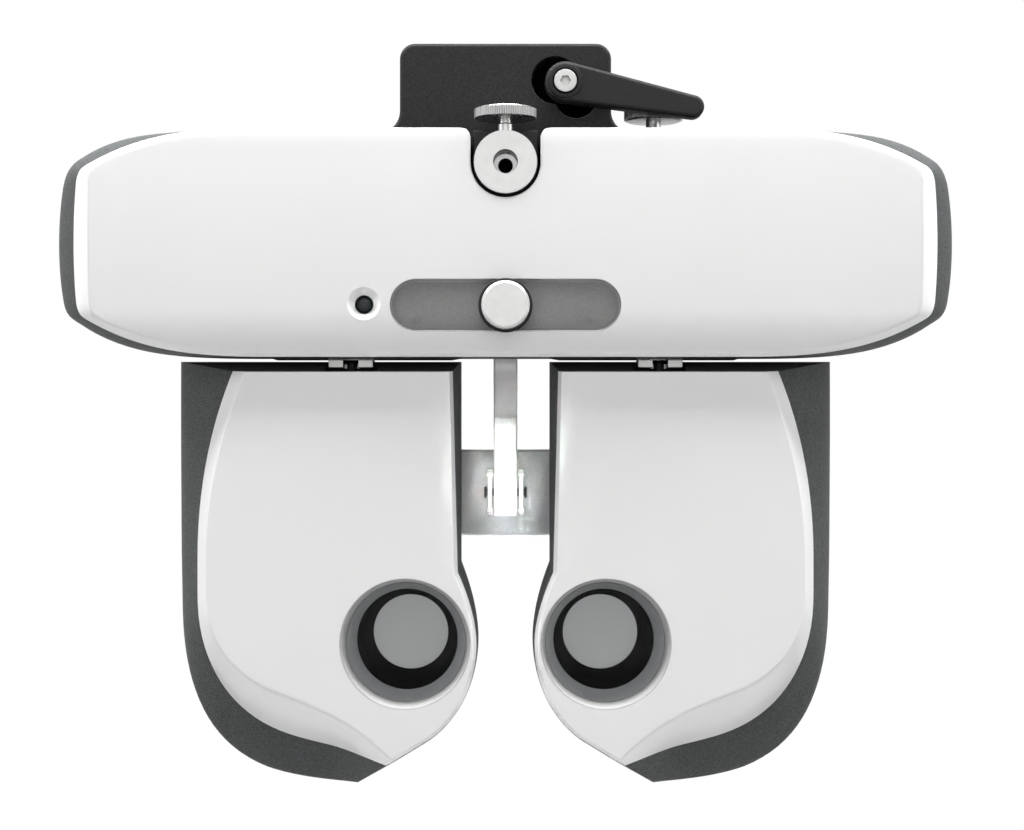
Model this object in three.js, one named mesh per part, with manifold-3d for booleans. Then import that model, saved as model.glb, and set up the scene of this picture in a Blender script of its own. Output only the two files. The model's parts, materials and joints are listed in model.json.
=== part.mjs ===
// A motorised phoropter (refraction head) that hangs from an instrument arm.
// Millimetres, +X to the operator's right, +Y towards the patient, +Z up.
// The origin is on the top face of the mount bracket, in front of the socket for the arm's post.
import * as THREE from "three";
import { mergeVertices } from "three/addons/utils/BufferGeometryUtils.js";
import Module from "manifold-3d";

const wasm = await Module();
wasm.setup();

// ---- Driving dimensions --------------------------------------------------
const GAP = 0.3; // between pieces that touch
const WALL = 2.5; // moulded casings

const PIVOT_Z = -46.8; // levelling pivot, which is also the rod holder's axis
const BODY_FRONT = -38; // front face of the body
const HEAD_FRONT = -31; // front faces of the heads, set back under the body
const BODY_EDGE_Y = -33; // where white cover meets dark shell
const BODY_WIDE_Y = -14; // widest section of the dark shell
const BODY_BACK_Y = 41;
const BODY_TOP = -34.5;
const BODY_BOTTOM = -115.8;
const BODY_MID = (BODY_TOP + BODY_BOTTOM) / 2;

const KNOB_Z = -97.8; // forehead rest knob and its recess
const SIGHT_X = -50.2; // small lens beside the recess
const PD_HALF = 36; // half of the pupil distance that the heads stand at
const EYE_Z = -218.6; // height of the optical axes
const HEAD_Z = -220; // height that the heads' outlines are drawn round
const HEAD_TOP_Z = -117.8;
const HEAD_BACK_Y = 41;
const PIVOT_U = 55.7; // convergence pin, from the centre plane
const PIN_Y = -21.5;
const RAIL_Y = -21; // guide rods and lead screws
const SCREW_Z = -97.5;
const ROD_Z = [-88, -107];

const GEAR_TEETH = 24;
const PINION_TEETH = 6;
const GEAR_MODULE = 1.633;
const GEAR_Y = [23.5, 29.5]; // centre planes of the two cylinder lens gears
const PINION_ANGLE = [1.75, 0.75]; // where each pinion stands round its gear, in radians

// ---- Materials ----------------------------------------------------------
const paint = (color, roughness, metalness = 0) =>
  new THREE.MeshStandardMaterial({ color, roughness, metalness });
const white = paint(0xededeb, 0.25);
const dark = paint(0x4a4d4d, 0.6);
const black = paint(0x161616, 0.55);
const grey = paint(0x858585, 0.5);
const steel = paint(0xc4c4c4, 0.3, 1);
const aluminium = paint(0xb8b8b6, 0.4, 1);
const brass = paint(0xb79a55, 0.35, 1);
const board = paint(0x1f6b3a, 0.5);
const glass = new THREE.MeshStandardMaterial({
  color: 0xbfd2d8,
  roughness: 0.05,
  transparent: true,
  opacity: 0.35,
});

// ---- Solids --------------------------------------------------------------
// A closed geometry as a manifold-3d solid.
function solidOf(geometry) {
  const bare = (geometry.index ? geometry.toNonIndexed() : geometry).clone();
  bare.deleteAttribute("normal");
  bare.deleteAttribute("uv");
  const merged = mergeVertices(bare, 1e-4);
  return new wasm.Manifold(
    new wasm.Mesh({
      numProp: 3,
      vertProperties: new Float32Array(merged.attributes.position.array),
      triVerts: new Uint32Array(merged.index.array),
    }),
  );
}

function geometryOf(solid) {
  const mesh = solid.getMesh();
  const points = new Float32Array(mesh.numVert * 3);
  for (let i = 0; i < mesh.numVert; i++) {
    const from = i * mesh.numProp;
    points.set(mesh.vertProperties.subarray(from, from + 3), i * 3);
  }
  return new THREE.BufferGeometry()
    .setAttribute("position", new THREE.BufferAttribute(points, 3))
    .setIndex(new THREE.BufferAttribute(mesh.triVerts, 1));
}

const join = (...solids) => solids.reduce((a, b) => a.add(b));
const cut = (solid, ...tools) => tools.reduce((a, b) => a.subtract(b), solid);

function block(x0, x1, y0, y1, z0, z1) {
  const box = new THREE.BoxGeometry(x1 - x0, y1 - y0, z1 - z0);
  return solidOf(box.translate((x0 + x1) / 2, (y0 + y1) / 2, (z0 + z1) / 2));
}

// A round bar or cone from y0 to y1 along Y, centred on (x, z).
function barY(x, z, y0, y1, r0, r1 = r0, sides = 20) {
  const bar = new THREE.CylinderGeometry(r1, r0, y1 - y0, sides);
  return solidOf(bar.translate(x, (y0 + y1) / 2, z));
}

function barX(y, z, x0, x1, r, sides = 16) {
  const bar = new THREE.CylinderGeometry(r, r, x1 - x0, sides).rotateZ(-Math.PI / 2);
  return solidOf(bar.translate((x0 + x1) / 2, y, z));
}

function barZ(x, y, z0, z1, r0, r1 = r0, sides = 16) {
  const bar = new THREE.CylinderGeometry(r1, r0, z1 - z0, sides).rotateX(Math.PI / 2);
  return solidOf(bar.translate(x, y, (z0 + z1) / 2));
}

// A flat outline in the X-Z plane, given a thickness along Y.
function plateY(shape, y0, y1, curveSteps = 5) {
  const made = new THREE.ExtrudeGeometry(shape, {
    depth: y1 - y0,
    bevelEnabled: false,
    curveSegments: curveSteps,
  });
  return solidOf(made.rotateX(Math.PI / 2).translate(0, y1, 0));
}

function roundedRect(x0, x1, z0, z1, r) {
  const s = new THREE.Shape();
  s.moveTo(x0 + r, z0).lineTo(x1 - r, z0);
  s.absarc(x1 - r, z0 + r, r, -Math.PI / 2, 0);
  s.lineTo(x1, z1 - r).absarc(x1 - r, z1 - r, r, 0, Math.PI / 2);
  s.lineTo(x0 + r, z1).absarc(x0 + r, z1 - r, r, Math.PI / 2, Math.PI);
  s.lineTo(x0, z0 + r).absarc(x0 + r, z0 + r, r, Math.PI, 1.5 * Math.PI);
  return s;
}

// ---- Lofted casings ------------------------------------------------------
// Turns path segments into points. A segment is [point], a line to it, or
// [control, control, point], a Bezier curve to it. The path closes on its start.
function outline(start, segments, steps) {
  const points = [];
  let from = new THREE.Vector2(...start);
  segments.forEach((segment, i) => {
    const nodes = segment.map((p) => new THREE.Vector2(...p));
    const curve =
      nodes.length === 1
        ? new THREE.LineCurve(from, nodes[0])
        : new THREE.CubicBezierCurve(from, ...nodes);
    for (let k = 0; k < steps[i]; k++) points.push(curve.getPoint(k / steps[i]));
    from = nodes[nodes.length - 1];
  });
  return points;
}

// Moves every point of an outline inwards along its own normal.
function inset(points, distance) {
  const n = points.length;
  return points.map((p, i) => {
    const before = points[(i + n - 1) % n];
    const after = points[(i + 1) % n];
    const a = p.clone().sub(before).normalize();
    const b = after.clone().sub(p).normalize();
    const normal = new THREE.Vector2(a.y + b.y, -a.x - b.x).normalize();
    const along = Math.max(0.55, normal.dot(new THREE.Vector2(a.y, -a.x)));
    return p.clone().addScaledVector(normal, distance / along);
  });
}

// Blends one outline towards another, point by point.
const mix = (a, b, t) => a.map((p, i) => p.clone().lerp(b[i], t));

// Skins a run of rings, each {points, y}, with a flat cap on the first and last.
function loft(rings) {
  const at = (ring, i) => {
    const p = ring.points[i];
    const y = typeof ring.y === "function" ? ring.y(p) : ring.y;
    return [p.x, y, p.y];
  };
  const count = rings[0].points.length;
  const positions = [];
  const quad = (a, b, c, d) => positions.push(...a, ...b, ...c, ...a, ...c, ...d);
  for (let r = 0; r + 1 < rings.length; r++)
    for (let i = 0; i < count; i++) {
      const j = (i + 1) % count;
      quad(at(rings[r], i), at(rings[r + 1], i), at(rings[r + 1], j), at(rings[r], j));
    }
  const cap = (ring, flip) => {
    for (const [a, b, c] of THREE.ShapeUtils.triangulateShape(ring.points, [])) {
      const corners = [at(ring, a), at(ring, b), at(ring, c)];
      if (flip) corners.reverse();
      positions.push(...corners.flat());
    }
  };
  const turn = THREE.ShapeUtils.isClockWise(rings[0].points);
  cap(rings[0], turn);
  cap(rings[rings.length - 1], !turn);
  const skin = new THREE.BufferGeometry().setAttribute(
    "position",
    new THREE.Float32BufferAttribute(positions, 3),
  );
  const made = solidOf(skin);
  return made.volume() > 0 ? made : solidOf(flipped(skin));
}

function flipped(geometry) {
  const p = geometry.attributes.position.array;
  for (let i = 0; i < p.length; i += 9)
    for (let k = 0; k < 3; k++) [p[i + k], p[i + 6 + k]] = [p[i + 6 + k], p[i + k]];
  return geometry;
}

// ---- Nodes ---------------------------------------------------------------
const phoropter = new THREE.Group();
function add(name, solid, material, parent = phoropter) {
  const mesh = new THREE.Mesh(geometryOf(solid), material);
  mesh.name = name;
  parent.add(mesh);
}

// ---- Body casing ---------------------------------------------------------
// Half-outline corners in (x, height above the body's middle), mirrored four ways.
// flat is where the level stretch ends, shoulder and side are where the corner starts and ends.
function bodyOutline({ flat, half, shoulder, side, bulge }) {
  const [sx, sz] = shoulder;
  const [ex, ez] = side;
  const quarter = [
    [[(flat + sx) / 2 - 4, half], [sx - 17, sz + 9.6 * (half / 42)], [sx, sz]],
    [[sx + 4, sz - 2.3], [ex - 0.8, ez + 5], [ex, ez]],
  ];
  const flip = (p, mx, mz) => [p[0] * mx, p[1] * mz];
  const there = (mx, mz) => quarter.map((s) => s.map((p) => flip(p, mx, mz)));
  const back = (mx, mz) => {
    const [slope, corner] = quarter;
    return [
      [corner[1], corner[0], [sx, sz]].map((p) => flip(p, mx, mz)),
      [slope[1], slope[0], [flat, half]].map((p) => flip(p, mx, mz)),
    ];
  };
  const sideCurve = (mx, from) => [
    [bulge * mx, from * ez * 0.4],
    [bulge * mx, -from * ez * 0.4],
    [ex * mx, -from * ez],
  ];
  return outline(
    [-flat, half],
    [
      [[flat, half]],
      ...there(1, 1),
      sideCurve(1, 1),
      ...back(1, -1),
      [[-flat, -half]],
      ...there(-1, -1),
      sideCurve(-1, -1),
      ...back(-1, 1),
    ],
    [1, 4, 3, 4, 3, 4, 1, 4, 3, 4, 3, 4],
  ).map((p) => new THREE.Vector2(p.x, p.y + BODY_MID));
}

const BODY_HALF = (BODY_TOP - BODY_BOTTOM) / 2;
const bodyFace = bodyOutline({
  flat: 84, half: BODY_HALF - 1.2, shoulder: [141, 27.5], side: [148.3, 19], bulge: 148.6,
});
const bodyEdge = bodyOutline({
  flat: 86, half: BODY_HALF, shoulder: [147, 29], side: [153.2, 21.5], bulge: 154.4,
});
const bodyWide = bodyOutline({
  flat: 90, half: BODY_HALF, shoulder: [155, 31.5], side: [162.3, 21], bulge: 164.4,
});
const bodyBack = inset(bodyWide, 8);

function bodyCover() {
  const shell = loft([
    { points: inset(bodyFace, WALL), y: BODY_FRONT + WALL },
    { points: inset(bodyEdge, WALL), y: BODY_EDGE_Y },
    { points: bodyEdge, y: BODY_EDGE_Y },
    { points: mix(bodyEdge, bodyFace, 0.35), y: BODY_FRONT + 1.6 },
    { points: bodyFace, y: BODY_FRONT },
  ]);
  const notchRadius = 12.8;
  const notch = join(
    barY(0, PIVOT_Z, BODY_FRONT - 5, -20, notchRadius),
    block(-notchRadius, notchRadius, BODY_FRONT - 5, -20, PIVOT_Z, BODY_TOP + 5),
  );
  const recess = plateY(
    roundedRect(-41.2, 41.2, KNOB_Z - 9.65, KNOB_Z + 9.65, 9.6), BODY_FRONT - 5, -30,
  );
  const sight = barY(SIGHT_X, KNOB_Z, BODY_FRONT - 0.5, -34, 7, 3.4);
  return cut(shell, notch, recess, sight);
}

function bodyShell() {
  const inner = inset(bodyWide, WALL);
  const rim = BODY_EDGE_Y + GAP;
  const shell = loft([
    { points: inset(bodyBack, WALL), y: BODY_BACK_Y - WALL },
    { points: inset(inner, 3), y: 30 },
    { points: inner, y: BODY_WIDE_Y },
    { points: inset(bodyEdge, WALL), y: rim },
    { points: bodyEdge, y: rim },
    { points: mix(bodyEdge, bodyWide, 0.75), y: -27 },
    { points: bodyWide, y: BODY_WIDE_Y },
    { points: inset(bodyWide, 3), y: 32 },
    { points: inset(bodyWide, 4.8), y: 38.5 },
    { points: bodyBack, y: BODY_BACK_Y },
  ]);
  const bracketWell = block(-47, 47, -40, 27, -42, -20);
  const armSlot = block(-7, 7, 8, 36, BODY_BOTTOM - 5, BODY_BOTTOM + 8);
  const carriageSlots = [-1, 1].map((s) => {
    const a = s * (PIVOT_U - 20);
    const b = s * (PIVOT_U + 15);
    return block(Math.min(a, b), Math.max(a, b), -28, -14.5, BODY_BOTTOM - 5, BODY_BOTTOM + 8);
  });
  const knobHole = barZ(55, -3.5, -45, -30, 3.6);
  const inlet = barY(96, -66, 34, 46, 7.5);
  return cut(shell, bracketWell, armSlot, ...carriageSlots, knobHole, inlet);
}

add("body_front_cover", bodyCover(), white);
add("body_rear_shell", bodyShell(), dark);

// Pill-shaped tray that the forehead knob stands in.
const tray = cut(
  plateY(roundedRect(-40.8, 40.8, KNOB_Z - 9.3, KNOB_Z + 9.3, 9.2), -36.5, -28.5),
  plateY(roundedRect(-39.6, 39.6, KNOB_Z - 8.1, KNOB_Z + 8.1, 8), -40, -30),
  barY(0, KNOB_Z, -32, -25, 3.2),
);
add("knob_recess_tray", tray, grey);

// Small lens in the conical dimple beside the tray.
const sightLens = join(
  barY(SIGHT_X, KNOB_Z, -35, -28.5, 3, 3, 24),
  barY(SIGHT_X, KNOB_Z, -33.8, -28.5, 5, 5, 24),
);
add("sight_lens", sightLens, black);

// ---- Chassis and drives inside the body ----------------------------------
const chassis = cut(
  join(
    block(-98, 98, -12.5, -9.5, -111, -64),
    block(-9, 9, -12.5, -9.5, -70, PIVOT_Z - 2),
    barY(0, PIVOT_Z, -12.5, -5.5, 9),
    block(-98, -94.5, -27, -9.5, -111, -80),
    block(94.5, 98, -27, -9.5, -111, -80),
  ),
  barY(0, PIVOT_Z, -20, 0, 4.3),
  barY(0, KNOB_Z, -20, 0, 3.2),
  ...ROD_Z.map((z) => barX(RAIL_Y, z, -110, 110, 3.3)),
  barX(RAIL_Y, SCREW_Z, -110, 110, 2.9),
);
add("chassis_plate", chassis, aluminium);
add("guide_rod_upper", barX(RAIL_Y, ROD_Z[0], -98.5, 98.5, 3), steel);
add("guide_rod_lower", barX(RAIL_Y, ROD_Z[1], -98.5, 98.5, 3), steel);

const control = join(
  block(22, 128, 13, 14.6, -106, -52),
  block(40, 66, 9.5, 13, -86, -64),
  block(88, 112, 8, 13, -100, -80),
);
add("control_board", control, board);

const inletPiece = join(
  barY(96, -66, 35.5, 41.5, 7.1),
  barY(96, -66, 41.4, 43, 9, 8.4),
);
add("cable_inlet", cut(inletPiece, barY(96, -66, 37.5, 50, 4.6)), black);

// ---- Mount bracket, levelling pivot and rod holder ------------------------
const BRACKET_HALF = 38.8;
const BRACKET_FRONT = -14;
const BRACKET_BACK = 23;
const LEVER_X = 21.6;
const LEVER_Z = -16;
const POST_R = 7.5;
const POST_Y = 11;

function bracketOutline() {
  const s = new THREE.Shape();
  const flare = BRACKET_HALF + 3.2;
  const corner = 4.6;
  s.moveTo(-flare, -39).lineTo(flare, -39).lineTo(flare, -34);
  s.quadraticCurveTo(BRACKET_HALF, -33.2, BRACKET_HALF, -29.5);
  s.lineTo(BRACKET_HALF, -corner);
  s.absarc(BRACKET_HALF - corner, -corner, corner, 0, Math.PI / 2);
  s.absarc(-BRACKET_HALF + corner, -corner, corner, Math.PI / 2, Math.PI);
  s.lineTo(-BRACKET_HALF, -29.5);
  s.quadraticCurveTo(-BRACKET_HALF, -33.2, -flare, -34);
  return s;
}

const neckHalf = 11.6;
const bracket = cut(
  join(
    plateY(bracketOutline(), BRACKET_FRONT, BRACKET_BACK, 5),
    block(-neckHalf, neckHalf, -34, -4, -41, -35),
    barY(0, PIVOT_Z, -34, -14, 12.3, 12.3, 24),
    block(-neckHalf, neckHalf, -34, -14, PIVOT_Z, -36),
    block(0, 61, -4, 2, -50.5, -44.5),
    block(10.5, 20, -4, 2, -50, -38),
    block(-9, 9, -14, 2, -50.5, -36),
    block(47, 61, -9.5, 2.5, -50.5, -44.5),
  ),
  barY(0, PIVOT_Z, -40, -22.5, 11.6, 11.6, 24), // seat of the rod holder
  block(-6, 6, -40, -22.5, -38, -30), // thumbscrew's way in
  barY(0, PIVOT_Z, -14.2, 5, 9.4), // room for the chassis boss
  block(-9.4, 9.4, -14.2, 5, -60, PIVOT_Z),
  barZ(0, POST_Y, -31, 5, POST_R, POST_R, 20), // arm post
  block(0, 60, POST_Y - 0.8, POST_Y + 0.8, -31, 5), // clamp slit
  barY(LEVER_X - 3, LEVER_Z + 0.6, -20, -9.5, 9.4), // lever hub pocket
  barY(LEVER_X + 4, LEVER_Z - 5, -20, -9.5, 8.6),
  barY(LEVER_X, LEVER_Z, -20, 30, 2.9),
  barZ(55, -3.5, -60, -40, 3.5), // levelling screw
);
// The levelling pivot is pressed into the bracket and finishes as one piece with it.
const pivotAxle = barY(0, PIVOT_Z, -22.5, -5.8, 3.5, 3.5, 20);
add("mount_bracket", join(bracket, pivotAxle), black);

const holder = cut(
  barY(0, PIVOT_Z, -38.5, -22.8, 11.3, 11.3, 32),
  block(-12, 12, -40, -37.5, PIVOT_Z + 7.1, PIVOT_Z + 12),
  barY(0, PIVOT_Z, -50, -27, 4.25, 4.25, 20),
  barZ(0, -30.5, PIVOT_Z + 3, PIVOT_Z + 12, 2.1, 2.1, 16),
);
add("rod_holder", holder, aluminium);

// Round thumbscrew head with a fluted rim, its axis along Z.
function knurledHead(x, y, z0, z1, radius, flutes) {
  const rim = new THREE.Shape();
  const steps = flutes * 2;
  for (let i = 0; i < steps; i++) {
    const r = i % 2 ? radius : radius - 0.35;
    const a = (i / steps) * 2 * Math.PI;
    const p = [r * Math.cos(a), r * Math.sin(a)];
    if (i) rim.lineTo(...p);
    else rim.moveTo(...p);
  }
  const disc = new THREE.ExtrudeGeometry(rim, { depth: z1 - z0, bevelEnabled: false });
  return solidOf(disc.translate(x, y, z0));
}

const SCREW_Y = -30.5;
const rodScrew = join(
  barZ(0, SCREW_Y, PIVOT_Z + 5, -30, 1.75, 1.75, 16),
  barZ(0, SCREW_Y, PIVOT_Z + 11.8, -33.6, 2.8, 2.8, 20),
  knurledHead(0, SCREW_Y, -31, -27.5, 11.35, 16),
  barZ(0, SCREW_Y, -32.6, -31, 3, 9),
);
add("rod_clamp_screw", rodScrew, steel);

// Clamp lever: hub, tapering arm and round tip.
const LEVER_LENGTH = 47;
const LEVER_DROP = Math.atan2(9, 46);
function leverOutline() {
  const hub = 7.3;
  const tip = 4.1;
  const lean = Math.asin((hub - tip) / LEVER_LENGTH);
  const s = new THREE.Shape();
  s.absarc(0, 0, hub, Math.PI / 2 - lean, 1.5 * Math.PI + lean);
  s.absarc(LEVER_LENGTH, 0, tip, -Math.PI / 2 + lean, Math.PI / 2 - lean);
  return s;
}
const leverArm = plateY(leverOutline(), -8, 0, 8);
const hubSleeve = barY(0, 0, -0.5, 8, 6.2);
const leverBore = barY(0, 0, -20, 20, 2.8);
const leverCounterbore = barY(0, 0, -20, -5.5, 4.7);
const lever = cut(join(leverArm, hubSleeve), leverBore, leverCounterbore)
  .rotate([0, (LEVER_DROP * 180) / Math.PI, 0])
  .translate([LEVER_X, -18, LEVER_Z]);
add("clamp_lever", lever, black);

const clampScrew = cut(
  join(
    barY(LEVER_X, LEVER_Z, -26.2, -23.8, 4.3, 4.3, 20),
    barY(LEVER_X, LEVER_Z, -24, 19, 2.4, 2.4, 12),
  ),
  barY(LEVER_X, LEVER_Z, -30, -24.6, 2, 2, 6),
);
add("clamp_screw", clampScrew, steel);

const LEVEL_X = 55;
const LEVEL_Y = -3.5;
const levelKnob = join(
  knurledHead(LEVEL_X, LEVEL_Y, -29.3, -24.8, 10.9, 16),
  barZ(LEVEL_X, LEVEL_Y, -60, -29, 2.9, 2.9, 12),
);
add("levelling_knob", levelKnob, steel);

// ---- Forehead rest -------------------------------------------------------
const knobCap = cut(
  join(
    barY(0, KNOB_Z, -44.5, -43.7, 8.2, 8.9, 32),
    barY(0, KNOB_Z, -43.7, -38.8, 8.9, 8.9, 32),
    barY(0, KNOB_Z, -39, -31.5, 6.2, 6.2, 20),
  ),
  barY(0, KNOB_Z, -36, -25, 2.8, 2.8, 16),
);
add("forehead_knob", knobCap, aluminium);
add("forehead_spindle", barY(0, KNOB_Z, -35.5, 37, 2.5, 2.5, 12), steel);

const ARM_HALF = 4.7;
const slideBlock = cut(
  block(-8, 8, 15, 27, -106, -88),
  barY(0, KNOB_Z, 0, 40, 2.8, 2.8, 20),
);
add("forehead_slide_block", slideBlock, brass);

const ARM_BACK = 34;
const ARM_END = -175.6;

// The bent strip, drawn from the side as (y, z) and given its width along X.
function foreheadArm() {
  const t = 2.6;
  const side = new THREE.Shape();
  side.moveTo(18, -106.3).lineTo(18, -116);
  side.bezierCurveTo(18, -126, 28, -129.6, 31, -137.6);
  side.lineTo(ARM_BACK, -159.9).lineTo(ARM_BACK, ARM_END);
  side.lineTo(ARM_BACK + t, ARM_END).lineTo(ARM_BACK + t, -159.5);
  side.lineTo(33.6, -137);
  side.bezierCurveTo(30.4, -128, 18 + t, -124.4, 18 + t, -115.4);
  side.lineTo(18 + t, -106.3);
  const made = new THREE.ExtrudeGeometry(side, {
    depth: 2 * ARM_HALF,
    bevelEnabled: false,
    curveSegments: 6,
  });
  // (y, z, depth) becomes (x, y, z)
  const turn = new THREE.Matrix4().makeBasis(
    new THREE.Vector3(0, 1, 0),
    new THREE.Vector3(0, 0, 1),
    new THREE.Vector3(1, 0, 0),
  );
  return solidOf(made.applyMatrix4(turn).translate(-ARM_HALF, 0, 0));
}
const ARM_PIN_Y = 42;
const ARM_PIN_Z = -166.5;
const armEar = cut(
  block(-ARM_HALF, ARM_HALF, ARM_BACK + 2, 45.5, -170.5, -162.5),
  barX(ARM_PIN_Y, ARM_PIN_Z, -10, 10, 1.8),
);
add("forehead_arm", join(foreheadArm(), armEar), aluminium);
add("forehead_pin", barX(ARM_PIN_Y, ARM_PIN_Z, -7, 7, 1.5, 12), steel);

const clevis = cut(
  join(
    block(-7.2, -5.1, 38.5, 50.7, -175.4, -157.6),
    block(5.1, 7.2, 38.5, 50.7, -175.4, -157.6),
    block(-7.2, 7.2, 48.7, 50.7, -175.4, -157.6),
  ),
  barX(ARM_PIN_Y, ARM_PIN_Z, -10, 10, 1.8),
);
add("forehead_clevis", clevis, aluminium);

const PAD_Y = 51;
const PAD_BOTTOM = -184.1;
const PAD_HEIGHT = 34.4;

// Curved band that the forehead leans on, hollow side to the patient.
function foreheadPad() {
  const radius = 78;
  const half = 0.62;
  const thick = 3.4;
  const s = new THREE.Shape();
  s.absarc(0, 0, radius + thick, -Math.PI / 2 - half, -Math.PI / 2 + half);
  s.absarc(0, 0, radius, -Math.PI / 2 + half, -Math.PI / 2 - half, true);
  const band = new THREE.ExtrudeGeometry(s, {
    depth: PAD_HEIGHT,
    bevelEnabled: false,
    curveSegments: 14,
  });
  return solidOf(band.translate(0, PAD_Y + radius + thick, PAD_BOTTOM));
}
add("forehead_pad", foreheadPad(), grey);

// ---- Heads ---------------------------------------------------------------
// Outlines in (distance outwards, height) from the optical axis.
const HEAD_STEPS = [1, 4, 1, 6, 4, 1, 5, 4, 1];
const headFace = outline([-15.8, 98.1], [
  [[56.5, 98.1]],
  [[63.5, 80], [69.9, 58], [69.9, 32.3]],
  [[69.9, 19]],
  [[69.9, 4], [62, -8], [47, -14.7]],
  [[31, -21], [17, -27], [5, -39.8]],
  [[-6, -33]],
  [[-16.5, -27], [-24, -14.5], [-24, 1.3]],
  [[-24, 9], [-20.8, 19.5], [-17.4, 26.3]],
  [[-15.8, 98.1]],
], HEAD_STEPS);
const headEdge = outline([-17, 98.5], [
  [[61.8, 98.5]],
  [[68.5, 82.3], [74.2, 60.3], [74.2, 32.3]],
  [[74.2, 20.3]],
  [[74.2, -7.7], [67, -24.7], [47, -32.7]],
  [[37, -36.7], [22, -39], [6.5, -42.4]],
  [[-6.5, -34.6]],
  [[-17.5, -28.5], [-25.6, -15], [-25.6, 1.3]],
  [[-25.6, 9.5], [-22, 20], [-18.8, 26.9]],
  [[-17, 98.5]],
], HEAD_STEPS);
const headTop = HEAD_TOP_Z - HEAD_Z;
const headWide = outline([-19.7, headTop], [
  [[83, headTop]],
  [[83, 80], [82.7, 60], [82.6, 32.3]],
  [[82.5, 10.3]],
  [[82.5, -18], [74, -38], [52, -46.5]],
  [[41, -50.8], [29, -51.6], [17.9, -52]],
  [[-5.6, -37.6]],
  [[-17, -31.2], [-26, -16.7], [-26, 1.3]],
  [[-26, 10.3], [-23, 20.3], [-19.7, 28.8]],
  [[-19.7, headTop]],
], HEAD_STEPS);

// The white cover wraps further back along its lower outer edge.
function coverEdgeY(p) {
  const down = THREE.MathUtils.smoothstep(15 - p.y, 0, 45);
  const outward = THREE.MathUtils.smoothstep(p.x - 2, 0, 28);
  return HEAD_FRONT + 4.5 + 13.5 * down * outward;
}

const EYE_RISE = EYE_Z - HEAD_Z;
const CHAMBER_R = 19;
const TUBE_BACK_Y = 14;

function headCover() {
  const shell = loft([
    { points: inset(headFace, WALL), y: HEAD_FRONT + WALL },
    { points: inset(headEdge, WALL), y: coverEdgeY },
    { points: headEdge, y: coverEdgeY },
    { points: headFace, y: HEAD_FRONT },
  ]);
  return cut(shell, barY(0, EYE_RISE, HEAD_FRONT - 1, HEAD_FRONT + 5, 23.8, 22.3, 32));
}

function headShell() {
  const rim = (p) => coverEdgeY(p) + GAP;
  const shell = loft([
    { points: inset(headWide, 7.4), y: HEAD_BACK_Y - WALL },
    { points: inset(headWide, 4.2), y: 33 },
    { points: inset(headWide, WALL), y: -4 },
    { points: inset(headEdge, WALL), y: rim },
    { points: headEdge, y: rim },
    { points: mix(headEdge, headWide, 0.8), y: (p) => coverEdgeY(p) * 0.6 - 3.6 },
    { points: headWide, y: -5 },
    { points: inset(headWide, 1.6), y: 30 },
    { points: inset(headWide, 3), y: 37.5 },
    { points: inset(headWide, 5.2), y: HEAD_BACK_Y },
  ]);
  const pin = PIVOT_U - PD_HALF;
  return cut(
    shell,
    block(pin - 9.4, pin + 9.4, -45, -13.5, headTop - 4.4, headTop + 5),
    barZ(pin, PIN_Y, headTop - 15, headTop + 5, 2.3),
    barY(0, EYE_RISE, 35, 45, 17.2, 17.2, 24),
  );
}

// Spur gear or pinion, its axis along Y, with its first tooth at angle turn.
function gear(teeth, y0, y1, turn) {
  const pitch = (teeth * GEAR_MODULE) / 2;
  const s = new THREE.Shape();
  const tooth = [
    [-0.29, -1],
    [-0.12, 0.75],
    [0.12, 0.75],
    [0.29, -1],
  ];
  for (let i = 0; i < teeth; i++)
    for (const [share, height] of tooth) {
      const a = turn + ((i + share) / teeth) * 2 * Math.PI;
      const r = pitch + height * GEAR_MODULE;
      const p = [r * Math.cos(a), r * Math.sin(a)];
      if (i || share !== tooth[0][0]) s.lineTo(...p);
      else s.moveTo(...p);
    }
  return plateY(s, y0, y1);
}

const PINION_REACH = ((GEAR_TEETH + PINION_TEETH) * GEAR_MODULE) / 2 + 0.2;
const AUX_X = 25.5;
const AUX_Z = 8.5;
const AUX_R = 40;

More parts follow.
